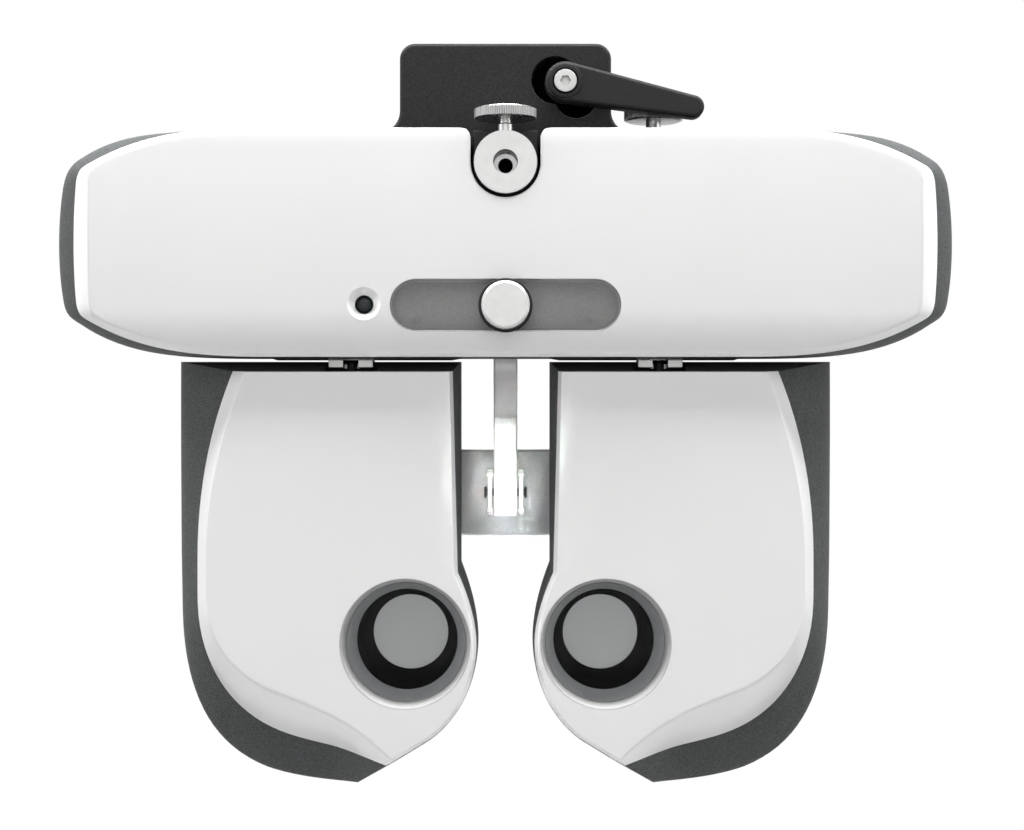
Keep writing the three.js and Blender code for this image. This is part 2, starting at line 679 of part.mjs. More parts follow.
function head(side) {
  const name = side < 0 ? "left" : "right";
  const put = (part, solid, material, height = EYE_Z) => {
    const turned = side < 0 ? solid.mirror([1, 0, 0]) : solid;
    add(`${part}_${name}`, turned.translate([side * PD_HALF, 0, height]), material);
  };

  put("head_rear_shell", headShell(), dark, HEAD_Z);
  put("head_front_cover", headCover(), white, HEAD_Z);
  put("aperture_bezel", cut(
    barY(0, 0, -25.7, -20, 22.8, 22.8, 32),
    barY(0, 0, -25.8, -19.9, 21.6, CHAMBER_R, 32),
  ), grey);
  put("front_window", barY(0, 0, -27.6, -26.1, 22, 22, 24), glass);
  put("lens_tube", cut(
    barY(0, 0, -19.7, TUBE_BACK_Y, 21.5, 21.5, 24),
    barY(0, 0, -25, TUBE_BACK_Y - 2, CHAMBER_R, CHAMBER_R, 24),
    barY(0, 0, 0, 20, 14.3, 14.3, 24),
  ), black);

  // Turret of filters: open, pinhole, two filters and a blank in front of the eye.
  const turret = [1, 2, 3, 4].map((k) => {
    const a = Math.atan2(-AUX_Z, -AUX_X) + (k * 2 * Math.PI) / 5;
    const reach = Math.hypot(AUX_X, AUX_Z);
    const r = k === 2 ? 1.2 : 13;
    return barY(AUX_X + reach * Math.cos(a), AUX_Z + reach * Math.sin(a), 0, 30, r, r, 24);
  });
  put("auxiliary_disc", cut(
    barY(AUX_X, AUX_Z, 15.2, 17.4, AUX_R, AUX_R, 32),
    barY(AUX_X, AUX_Z, 0, 30, 2.4, 2.4, 16),
    ...turret,
  ), grey);

  GEAR_Y.forEach((y, k) => {
    const which = k ? "rear" : "front";
    put(`cylinder_lens_${which}`, gear(GEAR_TEETH, y - 2, y + 2, PINION_ANGLE[k]), glass);
    const x = PINION_REACH * Math.cos(PINION_ANGLE[k]);
    const z = PINION_REACH * Math.sin(PINION_ANGLE[k]);
    const facing = PINION_ANGLE[k] + Math.PI * (1 + 1 / PINION_TEETH);
    const pinion = join(
      gear(PINION_TEETH, y - 2, y + 2, facing),
      barY(0, 0, y, y + 4, 1.4, 1.4, 10),
    );
    put(`cylinder_pinion_${which}`, pinion.translate([x, 0, z]), brass);
  });

  // Fixed carrier behind the gears, with the three small motors on its back.
  const motors = PINION_ANGLE.map((a) =>
    barY(PINION_REACH * Math.cos(a), PINION_REACH * Math.sin(a), 34.4, 37.8, 4, 4, 20),
  );
  put("motor_carrier", cut(
    join(
      plateY(roundedRect(-12, 50, 14, 36, 6), 33.8, 35),
      block(AUX_X - 4, AUX_X + 4, 33.8, 35, 5, 15),
      barY(AUX_X, AUX_Z, 14.5, 35, 2, 2, 16),
      ...motors,
    ),
    barY(0, 0, 30, 40, 18, 18, 32),
  ), aluminium);
  put("sphere_lens_cell", join(
    cut(barY(0, 0, 32.4, 37.6, 17.2, 17.2, 24), barY(0, 0, 30, 40, 14.8, 14.8, 32)),
    barY(0, 0, 34, 36, 15, 15, 32),
  ), glass);
  put("eyepiece_ring", cut(
    barY(0, 0, 38.2, 43.5, 16.8, 15.8, 24),
    barY(0, 0, 38, 44, 14, 12.5, 32),
  ), black);
  put("face_shield", cut(
    plateY(roundedRect(-20.5, 24, -25, 27, 17), 44, 45.6, 6),
    barY(0, 0, 40, 50, 14.5, 14.5, 32),
  ), glass);
}
head(-1);
head(1);

// ---- PD carriages --------------------------------------------------------
function carriage(side) {
  const name = side < 0 ? "left" : "right";
  const put = (part, solid, material) => {
    const turned = side < 0 ? solid.mirror([1, 0, 0]) : solid;
    add(`${part}_${name}`, turned, material);
  };
  const u = PIVOT_U;
  const runner = cut(
    join(
      block(u - 10, u + 10, -26.5, -15.5, -112.5, -82.5),
      block(u - 8, u + 8, -26.5, -16.5, -117.5, -112),
      block(u - 8, u + 8, -27.5, -15.5, -120.8, -117.5),
    ),
    ...ROD_Z.map((z) => barX(RAIL_Y, z, u - 20, u + 20, 3.1)),
    barX(RAIL_Y, SCREW_Z, u - 20, u + 20, 2.6),
    barZ(u, PIN_Y, -130, -117, 2.2),
  );
  put("pd_carriage", runner, aluminium);
  const dustPlate = cut(
    block(u - 40, u + 28, -30, -12.5, -117.1, -116.1),
    block(u - 8.4, u + 8.4, -26.9, -15.1, -120, -110),
  );
  put("slot_cover_plate", dustPlate, black);
  put("convergence_pin", barZ(u, PIN_Y, -129, -117.9, 1.9, 1.9, 20), black);
  put("pd_lead_screw", barX(RAIL_Y, SCREW_Z, 21, 101.5, 2.3, 20), steel);
  put("pd_motor", cut(
    block(98.8, 124, -31, -11, -107.5, -87.5),
    barX(RAIL_Y, SCREW_Z, 90, 103, 2.8),
  ), black);
}
carriage(-1);
carriage(1);

export default phoropter;
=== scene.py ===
"""A motorised phoropter that hangs from an instrument arm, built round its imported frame."""

import json
import math

import bmesh
import bpy
from mathutils import Matrix, Vector

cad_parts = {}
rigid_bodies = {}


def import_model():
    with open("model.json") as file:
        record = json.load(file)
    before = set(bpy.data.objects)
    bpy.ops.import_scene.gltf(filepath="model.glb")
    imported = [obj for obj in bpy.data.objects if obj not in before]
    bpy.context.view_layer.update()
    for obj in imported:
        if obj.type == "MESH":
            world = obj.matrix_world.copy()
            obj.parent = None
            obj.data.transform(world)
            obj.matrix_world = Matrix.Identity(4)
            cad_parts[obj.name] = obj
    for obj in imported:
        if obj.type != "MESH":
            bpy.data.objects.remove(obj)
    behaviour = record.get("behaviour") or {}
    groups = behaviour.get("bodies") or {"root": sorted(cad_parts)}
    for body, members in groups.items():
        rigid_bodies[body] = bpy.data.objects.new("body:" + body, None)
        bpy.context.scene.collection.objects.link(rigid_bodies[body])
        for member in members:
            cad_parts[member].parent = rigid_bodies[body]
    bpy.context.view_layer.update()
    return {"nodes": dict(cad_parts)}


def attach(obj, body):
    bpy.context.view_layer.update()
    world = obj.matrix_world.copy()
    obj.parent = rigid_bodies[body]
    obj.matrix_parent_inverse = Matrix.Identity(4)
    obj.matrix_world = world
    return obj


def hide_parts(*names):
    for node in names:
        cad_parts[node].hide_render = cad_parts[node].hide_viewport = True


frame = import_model()

MM = 0.001  # every size below is in millimetres
SHARP = 30  # degrees between two faces, above which their edge is shaded sharp
SIDES = {"left": -1, "right": 1}

# ---- Sizes shared with the frame ----
PIVOT_Z = -46.8  # levelling pivot and axis of the rod holder
BODY_FACE = -38.0
BODY_EDGE = -33.0
BODY_WIDE = -14.0
BODY_BACK = 41.0
BODY_TOP = -34.0
BODY_BOTTOM = -115.8
BODY_MID = (BODY_TOP + BODY_BOTTOM) / 2
BODY_HALF = (BODY_TOP - BODY_BOTTOM) / 2
RECESS_Z = -97.6
RECESS_HALF = (41.1, 9.25)
SIGHT_X, SIGHT_Z = -50.3, -97.3
KNOB_Z = -97.8
VENT_X = 68
CABLE_INLET = (96, -66)
LEVEL_KNOB = (55, -3.5)  # x and y of its upright axis
HEAD_FACE = -31.0
HEAD_WIDE = -5.0
HEAD_BACK = 41.0
HEAD_Z = -220.0
HEAD_TOP = 103.35  # above HEAD_Z
EYE_X = 36.0
EYE_Z = -218.6
HINGE_X = 55.7
HINGE_Y = -21.5
TURRET = (25.5, 8.5)  # from the eye to the axis of the filter disc
REST_PIN = (42, -166.5)  # y and z


# ---- Finishes ----
def preset(node, **values):
    """Sets a shader node's sockets; an underscore stands for a space."""
    for socket, value in values.items():
        node.inputs[socket.replace("_", " ")].default_value = value
    return node


class Finish:
    """A procedural material: a Principled shader with patterns laid in object space."""

    def __init__(self, name, colour, roughness, **sockets):
        self.material = bpy.data.materials.new(name)
        self.material.use_nodes = True
        self.tree = self.material.node_tree
        self.shader = self.tree.nodes["Principled BSDF"]
        preset(self.shader, Base_Color=(*colour, 1), Roughness=roughness, **sockets)

    def node(self, kind, **values):
        return preset(self.tree.nodes.new(kind), **values)

    def pipe(self, source, target):
        self.tree.links.new(source, target)

    def place(self, centre=(0, 0, 0), stretch=(1, 1, 1)):
        spot = self.node("ShaderNodeTexCoord")
        shift = [-c * MM * s for c, s in zip(centre, stretch)]
        mapping = self.node("ShaderNodeMapping", Location=shift, Scale=stretch)
        self.pipe(spot.outputs["Object"], mapping.inputs["Vector"])
        return mapping.outputs["Vector"]

    def grain(self, size, detail=3.0, centre=(0, 0, 0), stretch=(1, 1, 1)):
        """Noise whose blotches are about size millimetres across."""
        noise = self.node("ShaderNodeTexNoise", Scale=1 / (size * MM), Detail=detail)
        self.pipe(self.place(centre, stretch), noise.inputs["Vector"])
        return noise.outputs["Fac"]

    def turning(self, pitch, centre):
        """Fine rings round the Y axis through centre, as a lathe leaves them."""
        scale = 1 / (pitch * MM) / math.tau
        rings = self.node("ShaderNodeTexWave", Scale=scale, Distortion=0.6, Detail=2.0)
        rings.wave_type = "RINGS"
        rings.rings_direction = "Y"
        self.pipe(self.place(centre), rings.inputs["Vector"])
        return rings.outputs["Fac"]

    def tint(self, pattern, dark, light, low=0.3, high=0.7):
        ramp = self.node("ShaderNodeValToRGB")
        for i, (position, colour) in enumerate(((low, dark), (high, light))):
            ramp.color_ramp.elements[i].position = position
            ramp.color_ramp.elements[i].color = (*colour, 1)
        self.pipe(pattern, ramp.inputs["Fac"])
        self.pipe(ramp.outputs["Color"], self.shader.inputs["Base Color"])

    def sheen_of(self, pattern, smooth, rough):
        spread = self.node("ShaderNodeMapRange", From_Min=0.3, From_Max=0.7, To_Min=smooth, To_Max=rough)
        self.pipe(pattern, spread.inputs["Value"])
        self.pipe(spread.outputs["Result"], self.shader.inputs["Roughness"])

    def relief(self, pattern, depth, strength=0.5):
        bump = self.node("ShaderNodeBump", Strength=strength, Distance=depth * MM)
        self.pipe(pattern, bump.inputs["Height"])
        self.pipe(bump.outputs["Normal"], self.shader.inputs["Normal"])


def white_lacquer():
    f = Finish("white_lacquer", (0.8, 0.8, 0.795), 0.3, Coat_Weight=0.5, Coat_Roughness=0.12)
    f.tint(f.grain(40, 1), (0.815, 0.815, 0.812), (0.825, 0.825, 0.822))
    f.sheen_of(f.grain(30, 1), 0.28, 0.33)
    f.relief(f.grain(0.8, 1), 0.002, 0.15)
    return f.material


def charcoal_casing():
    f = Finish("charcoal_casing", (0.1, 0.105, 0.105), 0.6, Specular_IOR_Level=0.2)
    f.tint(f.grain(0.5, 4), (0.052, 0.055, 0.056), (0.108, 0.113, 0.114), 0.34, 0.68)
    f.sheen_of(f.grain(2.2, 4), 0.6, 0.76)
    f.relief(f.grain(0.42, 4), 0.06, 0.55)
    return f.material


def black_powder_coat(name, size):
    f = Finish(name, (0.02, 0.02, 0.021), 0.5, Specular_IOR_Level=0.18)
    f.tint(f.grain(size, 4), (0.006, 0.006, 0.0063), (0.02, 0.02, 0.0205), 0.32, 0.7)
    f.sheen_of(f.grain(size * 3, 3), 0.42, 0.58)
    f.relief(f.grain(size, 3), 0.07, 0.6)
    return f.material


def satin_metal(name, colour, stretch, size=0.25, rough=(0.24, 0.4), metallic=1.0):
    """Metal brushed along the axis whose stretch is the smallest."""
    f = Finish(name, colour, 0.3, Metallic=metallic)
    darker = [c * 0.86 for c in colour]
    f.tint(f.grain(size, 4, stretch=stretch), darker, colour)
    f.sheen_of(f.grain(size * 2, 3, stretch=stretch), *rough)
    f.relief(f.grain(size, 2, stretch=stretch), 0.008, 0.3)
    return f.material


def turned_metal(name, colour, centre, pitch=0.16):
    f = Finish(name, colour, 0.32, Metallic=1.0)
    f.tint(f.grain(3.2, 5), [c * 0.93 for c in colour], colour)
    f.sheen_of(f.grain(1.4, 4), 0.3, 0.4)
    f.relief(f.turning(pitch, centre), 0.003, 0.18)
    return f.material


def moulded(name, colour, roughness=0.5, size=0.35, depth=0.02, gloss=0.4):
    f = Finish(name, colour, roughness, Specular_IOR_Level=gloss)
    f.tint(f.grain(size, 3), [c * 0.88 for c in colour], [min(1, c * 1.1) for c in colour])
    f.sheen_of(f.grain(size * 5, 3), roughness - 0.06, roughness + 0.06)
    f.relief(f.grain(size, 3), depth, 0.4)
    return f.material


def clear_glass(name, tint, ior=1.5):
    f = Finish(name, tint, 0.02, IOR=ior, Transmission_Weight=1.0)
    f.sheen_of(f.grain(14, 3), 0.0, 0.03)
    return f.material


def occluder_painted_glow():
    # The emission is painted light: the blank glows, though no lamp lights it at the bottom of the tube.
    f = Finish("occluder_painted_glow", (0.34, 0.34, 0.335), 0.7,
               Emission_Color=(1.0, 1.0, 0.985, 1), Emission_Strength=0.16)
    f.tint(f.grain(0.6, 3), (0.32, 0.32, 0.315), (0.36, 0.36, 0.355))
    return f.material


def dark_lens():
    f = Finish("dark_lens", (0.02, 0.022, 0.025), 0.3, Specular_IOR_Level=0.3)
    f.tint(f.grain(0.55, 2), (0.012, 0.013, 0.015), (0.05, 0.12, 0.14), 0.56, 0.74)
    f.sheen_of(f.grain(0.5, 2), 0.25, 0.4)
    return f.material


def circuit_lacquer():
    f = Finish("circuit_lacquer", (0.03, 0.16, 0.07), 0.35)
    f.tint(f.grain(1.3, 1, stretch=(1, 1, 0.2)), (0.02, 0.13, 0.05), (0.05, 0.22, 0.1))
    f.relief(f.grain(1.3, 1, stretch=(1, 1, 0.2)), 0.05, 0.4)
    return f.material


LACQUER = white_lacquer()
CHARCOAL = charcoal_casing()
BLACK_COAT = black_powder_coat("bracket_powder_coat", 0.55)
LEVER_COAT = black_powder_coat("lever_powder_coat", 0.4)
BLACK_TRIM = moulded("black_trim", (0.01, 0.01, 0.01), 0.55, gloss=0.2)
CHAMBER_BLACK = moulded("chamber_black", (0.003, 0.003, 0.003), 0.8, gloss=0.0)
# The grey of the aperture cone is painted shade on the white cover's plastic.
CONE_PAINTED_SHADE = moulded("cone_lacquer_painted_shade", (0.42, 0.42, 0.418), 0.4, 0.5, 0.01)
BEZEL_GREY = moulded("bezel_grey", (0.22, 0.22, 0.22), 0.42, 0.5, 0.01)
TRAY_GREY = moulded("tray_grey", (0.35, 0.35, 0.347), 0.45, 0.5, 0.01)
REST_GREY = moulded("rest_grey", (0.9, 0.905, 0.9), 0.62, 0.45, 0.02, gloss=0.2)
SOFT_BLACK = moulded("soft_black_rubber", (0.018, 0.018, 0.018), 0.7, 0.6, 0.03)
SCREW_STEEL = satin_metal("screw_steel", (0.42, 0.42, 0.415), (1, 1, 1), 0.3, (0.3, 0.5))
KNURL_STEEL = satin_metal("knurl_steel", (0.5, 0.5, 0.495), (1, 1, 0.1), 0.4, (0.22, 0.36))
ROD_STEEL = satin_metal("rod_steel", (0.3, 0.3, 0.295), (0.05, 1, 1), 0.3)
ARM_METAL = satin_metal("arm_brushed", (0.86, 0.86, 0.85), (1, 1, 0.06), 0.3, (0.3, 0.45), 0.35)
LUG_METAL = satin_metal("lug_brushed", (0.5, 0.5, 0.49), (0.2, 1, 1), 0.35, (0.35, 0.5))
HOLDER_METAL = turned_metal("holder_turned", (0.45, 0.45, 0.446), (0, 0, PIVOT_Z))
KNOB_METAL = turned_metal("knob_turned", (0.45, 0.45, 0.446), (0, 0, KNOB_Z))
BRASS = satin_metal("machined_brass", (0.72, 0.5, 0.22), (1, 0.2, 1), 0.3)
WINDOW_GLASS = clear_glass("window_glass", (0.97, 0.985, 1.0), 1.12)
SHIELD_CLEAR = clear_glass("shield_clear", (0.96, 0.97, 0.975), 1.3)
SIGHT_GLASS = dark_lens()
PAINTED_GLOW_OCCLUDER = occluder_painted_glow()
BOARD = circuit_lacquer()


# ---- Flat outlines ----
def bezier(a, b, c, d, steps):
    out = []
    for k in range(steps):
        t = k / steps
        s = 1 - t
        out.append(tuple(
            s**3 * p + 3 * s * s * t * q + 3 * s * t * t * r + t**3 * e
            for p, q, r, e in zip(a, b, c, d)
        ))
    return out


def outline(start, segments, steps):
    """Points along lines, [end], and curves, [control, control, end]; it closes on start."""
    points, here = [], start
    for segment, count in zip(segments, steps):
        *controls, end = segment
        controls = controls or [[a + (b - a) * k / 3 for a, b in zip(here, end)] for k in (1, 2)]
        points += bezier(here, *controls, end, count)
        here = end
    return points


def arc(x, z, radius, start, end, steps):
    turn = [math.radians(start + (end - start) * k / steps) for k in range(steps + 1)]
    return [(x + radius * math.cos(a), z + radius * math.sin(a)) for a in turn]


def stadium(x, z, half_x, half_z, steps=24):
    right = arc(x + half_x - half_z, z, half_z, -90, 90, steps)
    return right + arc(x - half_x + half_z, z, half_z, 90, 270, steps)


def rounded_box(x0, x1, z0, z1, r, steps=8):
    corners = [(x1 - r, z0 + r, -90), (x1 - r, z1 - r, 0), (x0 + r, z1 - r, 90), (x0 + r, z0 + r, 180)]
    return [p for x, z, a in corners for p in arc(x, z, r, a, a + 90, steps)]


def area_sign(points):
    area = sum(a[0] * b[1] - b[0] * a[1] for a, b in zip(points, points[1:] + points[:1]))
    return 1 if area > 0 else -1


def inset(points, distance):
    """Moves each point inwards along its own normal."""
    turn = area_sign(points)
    n = len(points)
    out = []
    for i, (x, z) in enumerate(points):
        ax, az = x - points[i - 1][0], z - points[i - 1][1]
        bx, bz = points[(i + 1) % n][0] - x, points[(i + 1) % n][1] - z
        la, lb = math.hypot(ax, az) or 1, math.hypot(bx, bz) or 1
        nx, nz = -(az / la + bz / lb) * turn, (ax / la + bx / lb) * turn
        size = math.hypot(nx, nz) or 1
        nx, nz = nx / size, nz / size
        along = max(0.6, abs(-az / la * nx + ax / la * nz))
        out.append((x + nx * distance / along, z + nz * distance / along))
    return out


def mix(a, b, share):
    return [(p[0] + (q[0] - p[0]) * share, p[1] + (q[1] - p[1]) * share) for p, q in zip(a, b)]


def at_depth(points, y):
    return [(x, y(x, z) if callable(y) else y, z) for x, z in points]


def ring_at(points, inward, y):
    """The outline moved inwards, at its depth."""
    return at_depth(inset(points, inward), y)


# ---- Making pieces ----
def finish_mesh(piece, sharp=SHARP):
    """Merges doubles, turns the faces outwards and shades smooth between sharp edges."""
    bm = bmesh.new()
    bm.from_mesh(piece.data)
    bmesh.ops.remove_doubles(bm, verts=bm.verts, dist=2e-6)
    bmesh.ops.dissolve_degenerate(bm, dist=1e-7, edges=bm.edges)
    bmesh.ops.recalc_face_normals(bm, faces=bm.faces)
    bm.to_mesh(piece.data)
    bm.free()
    piece.data.shade_smooth()
    piece.data.set_sharp_from_angle(angle=math.radians(sharp))
    return piece


def linked(name, mesh, material):
    mesh.materials.append(material)
    piece = bpy.data.objects.new(name, mesh)
    bpy.context.collection.objects.link(piece)
    return piece


def make_piece(name, points, faces, material, sharp=SHARP):
    mesh = bpy.data.meshes.new(name)
    mesh.from_pydata([[c * MM for c in p] for p in points], [], faces)
    return finish_mesh(linked(name, mesh, material), sharp)


def loft(name, rings, material, caps=True, sharp=SHARP):
    """A skin over rings of points, with flat ends or ends that close on themselves."""
    n = len(rings[0])
    faces = []
    last = (len(rings) - 1) * n
    for here in range(0, last, n):
        for i in range(n):
            j = (i + 1) % n
            faces.append((here + i, here + j, here + n + j, here + n + i))
    if caps:
        faces += [tuple(range(n)), tuple(range(last, last + n))]
    return make_piece(name, [p for layer in rings for p in layer], faces, material, sharp)


def turned(name, x, z, profile, material, segments=96):
    """Turns a profile of (radius, y) round the Y axis through (x, z)."""
    turn = [2 * math.pi * k / segments for k in range(segments)]
    rings = [[(x + radius * math.cos(a), y, z + radius * math.sin(a)) for a in turn]
             for radius, y in profile]
    closed = profile[0] == profile[-1]
    return loft(name, rings, material, not closed and profile[0][0] > 0)


def laid(piece, place, quarter, axis):
    """Gives a piece a quarter turn about a world axis and moves it to its place."""
    move = Matrix.Translation([c * MM for c in place])
    piece.data.transform(move @ Matrix.Rotation(quarter * math.pi / 2, 4, axis))
    return piece


def upright(piece, x, y):
    """Turns a piece made round the Y axis so that its axis is Z through (x, y)."""
    return laid(piece, (x, y, 0), 1, "X")


def sideways(piece, y, z):
    """Turns a piece made round the Y axis so that its axis is X through (y, z)."""
    return laid(piece, (0, y, z), -1, "Z")


def lengthways(piece):
    """Turns a piece drawn as (y, z) with its thickness along Y, so that it lies where it is drawn."""
    return laid(piece, (0, 0, 0), 1, "Z")


def slab(name, points, y0, y1, material, edge=0.0, sharp=SHARP):
    """A flat outline with a thickness along Y and rounded front and back edges."""
    steps = 5 if edge else 0
    turns = [math.pi / 2 * (1 - k / steps) if steps else 0 for k in range(steps + 1)]
    front = [ring_at(points, edge * (1 - math.cos(a)), y0 + edge * (1 - math.sin(a))) for a in turns]
    back = [[(x, y0 + y1 - y, z) for x, y, z in layer] for layer in reversed(front)]
    return loft(name, front + back, material, True, sharp)


def evaluated(piece):
    """Applies the piece's modifiers to its mesh."""
    state = bpy.context.evaluated_depsgraph_get()
    mesh = bpy.data.meshes.new_from_object(piece.evaluated_get(state))
    piece.modifiers.clear()
    old = piece.data
    piece.data = mesh
    bpy.data.meshes.remove(old)
    return piece


def carve(piece, cutters, operation="DIFFERENCE"):
    for cutter in cutters:
        step = piece.modifiers.new(cutter.name, "BOOLEAN")
        step.operation = operation
        step.solver = "EXACT"
        step.object = cutter
    evaluated(piece)
    for cutter in cutters:
        bpy.data.objects.remove(cutter)
    return finish_mesh(piece)


def soften(piece, width):
    step = piece.modifiers.new("soft_edges", "BEVEL")
    step.width = width * MM
    step.segments = 3
    step.limit_method = "ANGLE"
    step.angle_limit = math.radians(SHARP)
    return finish_mesh(evaluated(piece))


def lipped_cutter(points, face, back, lip):
    """A cutter whose mouth flares, so that the hole it leaves has a rounded lip."""
    turns = [math.pi / 2 * k / 6 for k in range(7)]
    rounded = [ring_at(points, -lip * (1 - math.sin(a)), face + lip * (1 - math.cos(a))) for a in turns]
    return loft("cutter", [ring_at(points, -lip, face - 8), *rounded, at_depth(points, back)], LACQUER)


def box_piece(name, x0, x1, y0, y1, z0, z1, material, edge=0.0):
    corners = [(x0, z0), (x1, z0), (x1, z1), (x0, z1)]
    piece = loft(name, [at_depth(corners, y0), at_depth(corners, y1)], material)
    return soften(piece, edge) if edge else piece


def block(x0, x1, y0, y1, z0, z1, edge=0.0):
    """A box for another piece to take away or add; lathe, sheet and peg are the same for their shapes."""
    return box_piece("cutter", x0, x1, y0, y1, z0, z1, LACQUER, edge)


def lathe(x, z, profile, segments=96):
    return turned("cutter", x, z, profile, LACQUER, segments)


def sheet(points, y0, y1, edge=0.0):
    return slab("cutter", points, y0, y1, LACQUER, edge)


def peg(x, z, y0, y1, radius, segments=64):
    return lathe(x, z, [(0, y0), (radius, y0), (radius, y1), (0, y1)], segments)


def joined(name, pieces, material):
    """Puts separate solids of one part into one piece."""
    bm = bmesh.new()
    for piece in pieces:
        bm.from_mesh(piece.data)
    mesh = bpy.data.meshes.new(name)
    bm.to_mesh(mesh)
    bm.free()
    for piece in pieces:
        bpy.data.objects.remove(piece)
    return finish_mesh(linked(name, mesh, material))


def fit(piece, body, slot, *nodes):
    """Says which body the piece rides on and what it stands for; the finish slot is not used."""
    even = piece.modifiers.new("even_shading", "WEIGHTED_NORMAL")
    even.keep_sharp = True
    even.weight = 80
    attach(piece, body)
    if nodes:
        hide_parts(*nodes)


def fit_side(piece, name, body, slot, *nodes):
    """Fits a piece drawn for the right-hand side; the side's name ends those of body and nodes."""
    if SIDES[name] < 0:
        piece.data.transform(Matrix.Diagonal((-1, 1, 1, 1)))
        piece.data.flip_normals()
    fit(piece, f"{body}_{name}", slot, *[f"{node}_{name}" for node in nodes])


# ---- Repeated details, made by geometry nodes ----
class Tree:
    """A geometry node tree with named inputs that ends in Realize Instances and Set Material."""

    def __init__(self, name, inputs):
        self.group = bpy.data.node_groups.new(name, "GeometryNodeTree")
        face = self.group.interface
        face.new_socket("Geometry", in_out="INPUT", socket_type="NodeSocketGeometry")
        self.ids = {}
        for label, value in inputs.items():
            kind = "NodeSocketInt" if isinstance(value, int) else "NodeSocketFloat"
            socket = face.new_socket(label, in_out="INPUT", socket_type=kind)
            socket.default_value = value
            self.ids[label] = socket.identifier
        finish = face.new_socket("Finish", in_out="INPUT", socket_type="NodeSocketMaterial")
        self.ids["Finish"] = finish.identifier
        face.new_socket("Geometry", in_out="OUTPUT", socket_type="NodeSocketGeometry")
        self.start = self.add("NodeGroupInput")

    def feed(self, socket, value):
        if isinstance(value, bpy.types.NodeSocket):
            self.group.links.new(value, socket)
        else:
            socket.default_value = value

    def add(self, kind, settings=None, **links):
        node = self.group.nodes.new(kind)
        for key, value in (settings or {}).items():
            setattr(node, key, value)
        for key, value in links.items():
            self.feed(node.inputs[key.replace("_", " ")], value)
        return node

    def value(self, label):
        return self.start.outputs[label]

    def maths(self, operation, a, b):
        node = self.add("ShaderNodeMath", {"operation": operation})
        self.feed(node.inputs[0], a)
        self.feed(node.inputs[1], b)
        return node.outputs[0]

    def cylinder(self, vertices, radius, depth):
        return self.add("GeometryNodeMeshCylinder", Vertices=vertices, Side_Segments=1,
                        Fill_Segments=1, Radius=radius, Depth=depth).outputs[0]

    def on_points(self, points, piece, **links):
        return self.add("GeometryNodeInstanceOnPoints", Points=points, Instance=piece, **links).outputs[0]

    def vector(self, x=0.0, y=0.0, z=0.0):
        return self.add("ShaderNodeCombineXYZ", X=x, Y=y, Z=z).outputs[0]

    def end(self, *geometry):
        join = self.add("GeometryNodeJoinGeometry")
        for part in geometry:
            self.group.links.new(part, join.inputs[0])
        real = self.add("GeometryNodeRealizeInstances", Geometry=join.outputs[0])
        coat = self.add("GeometryNodeSetMaterial", Geometry=real.outputs[0],
                        Material=self.value("Finish"))
        last = self.add("NodeGroupOutput")
        self.group.links.new(coat.outputs[0], last.inputs[0])

    def grow(self, piece, finish, sharp=SHARP, **values):
        """Runs the tree on a piece and keeps the result as its plain mesh."""
        step = piece.modifiers.new(self.group.name, "NODES")
        step.node_group = self.group
        for label, value in values.items():
            step[self.ids[label.replace("_", " ")]] = value
        step[self.ids["Finish"]] = finish
        evaluated(piece)
        if not piece.data.materials:
            piece.data.materials.append(finish)
        piece.data.shade_smooth()
        piece.data.set_sharp_from_angle(angle=math.radians(sharp))
        return piece


def fluted_rim_tree():
    """Half-round flutes side by side round an upright rim."""
    t = Tree("fluted_rim", {"Rim Radius": 0.01, "Flutes": 72, "Flute Radius": 0.0004,
                            "Height": 0.004, "Centre X": 0.0, "Centre Y": 0.0, "Centre Z": 0.0})
    circle = t.add("GeometryNodeMeshCircle", Vertices=t.value("Flutes"), Radius=t.value("Rim Radius"))
    flute = t.cylinder(8, t.value("Flute Radius"), t.value("Height"))
    rim = t.on_points(circle.outputs[0], flute)
    spot = t.vector(t.value("Centre X"), t.value("Centre Y"), t.value("Centre Z"))
    moved = t.add("GeometryNodeTransform", Geometry=rim, Translation=spot)
    t.end(t.start.outputs[0], moved.outputs[0])
    return t


def slat_tree():
    """A row of flat slats side by side along X."""
    t = Tree("slat_row", {"Slats": 12, "Pitch": 0.004, "Slat Width": 0.002, "Slat Length": 0.02,
                          "Slat Depth": 0.0012, "Start X": 0.0, "Start Y": 0.0, "Start Z": 0.0})
    step = t.vector(t.value("Pitch"))
    spot = t.vector(t.value("Start X"), t.value("Start Y"), t.value("Start Z"))
    line = t.add("GeometryNodeMeshLine", Count=t.value("Slats"), Start_Location=spot, Offset=step)
    slat = t.cylinder(12, 0.5, t.value("Slat Length"))
    shape = t.add("GeometryNodeTransform", Geometry=slat,
                  Scale=t.vector(t.value("Slat Width"), t.value("Slat Depth"), 1.0))
    t.end(t.on_points(line.outputs[0], shape.outputs[0]))
    return t


def socket_screw_tree():
    """A cap screw with a hexagon socket on each point, its head towards -Y or +Y."""
    t = Tree("socket_screws", {"Head Radius": 0.002, "Head Depth": 0.001, "Key Radius": 0.001,
                               "Turn": 0.5})
    head = t.cylinder(28, t.value("Head Radius"), t.value("Head Depth"))
    key = t.cylinder(6, t.value("Key Radius"), t.value("Head Depth"))
    lift = t.vector(z=t.maths("MULTIPLY", t.value("Head Depth"), 0.5))
    higher = t.add("GeometryNodeTransform", Geometry=key, Translation=lift)
    screw = t.add("GeometryNodeMeshBoolean", {"operation": "DIFFERENCE"})
    t.group.links.new(head, screw.inputs[0])
    t.group.links.new(higher.outputs[0], screw.inputs[1])
    face = t.vector(t.maths("MULTIPLY", t.value("Turn"), math.pi))
    t.end(t.on_points(t.start.outputs[0], screw.outputs[0], Rotation=face))
    return t


FLUTES = fluted_rim_tree()
SLATS = slat_tree()
SCREWS = socket_screw_tree()


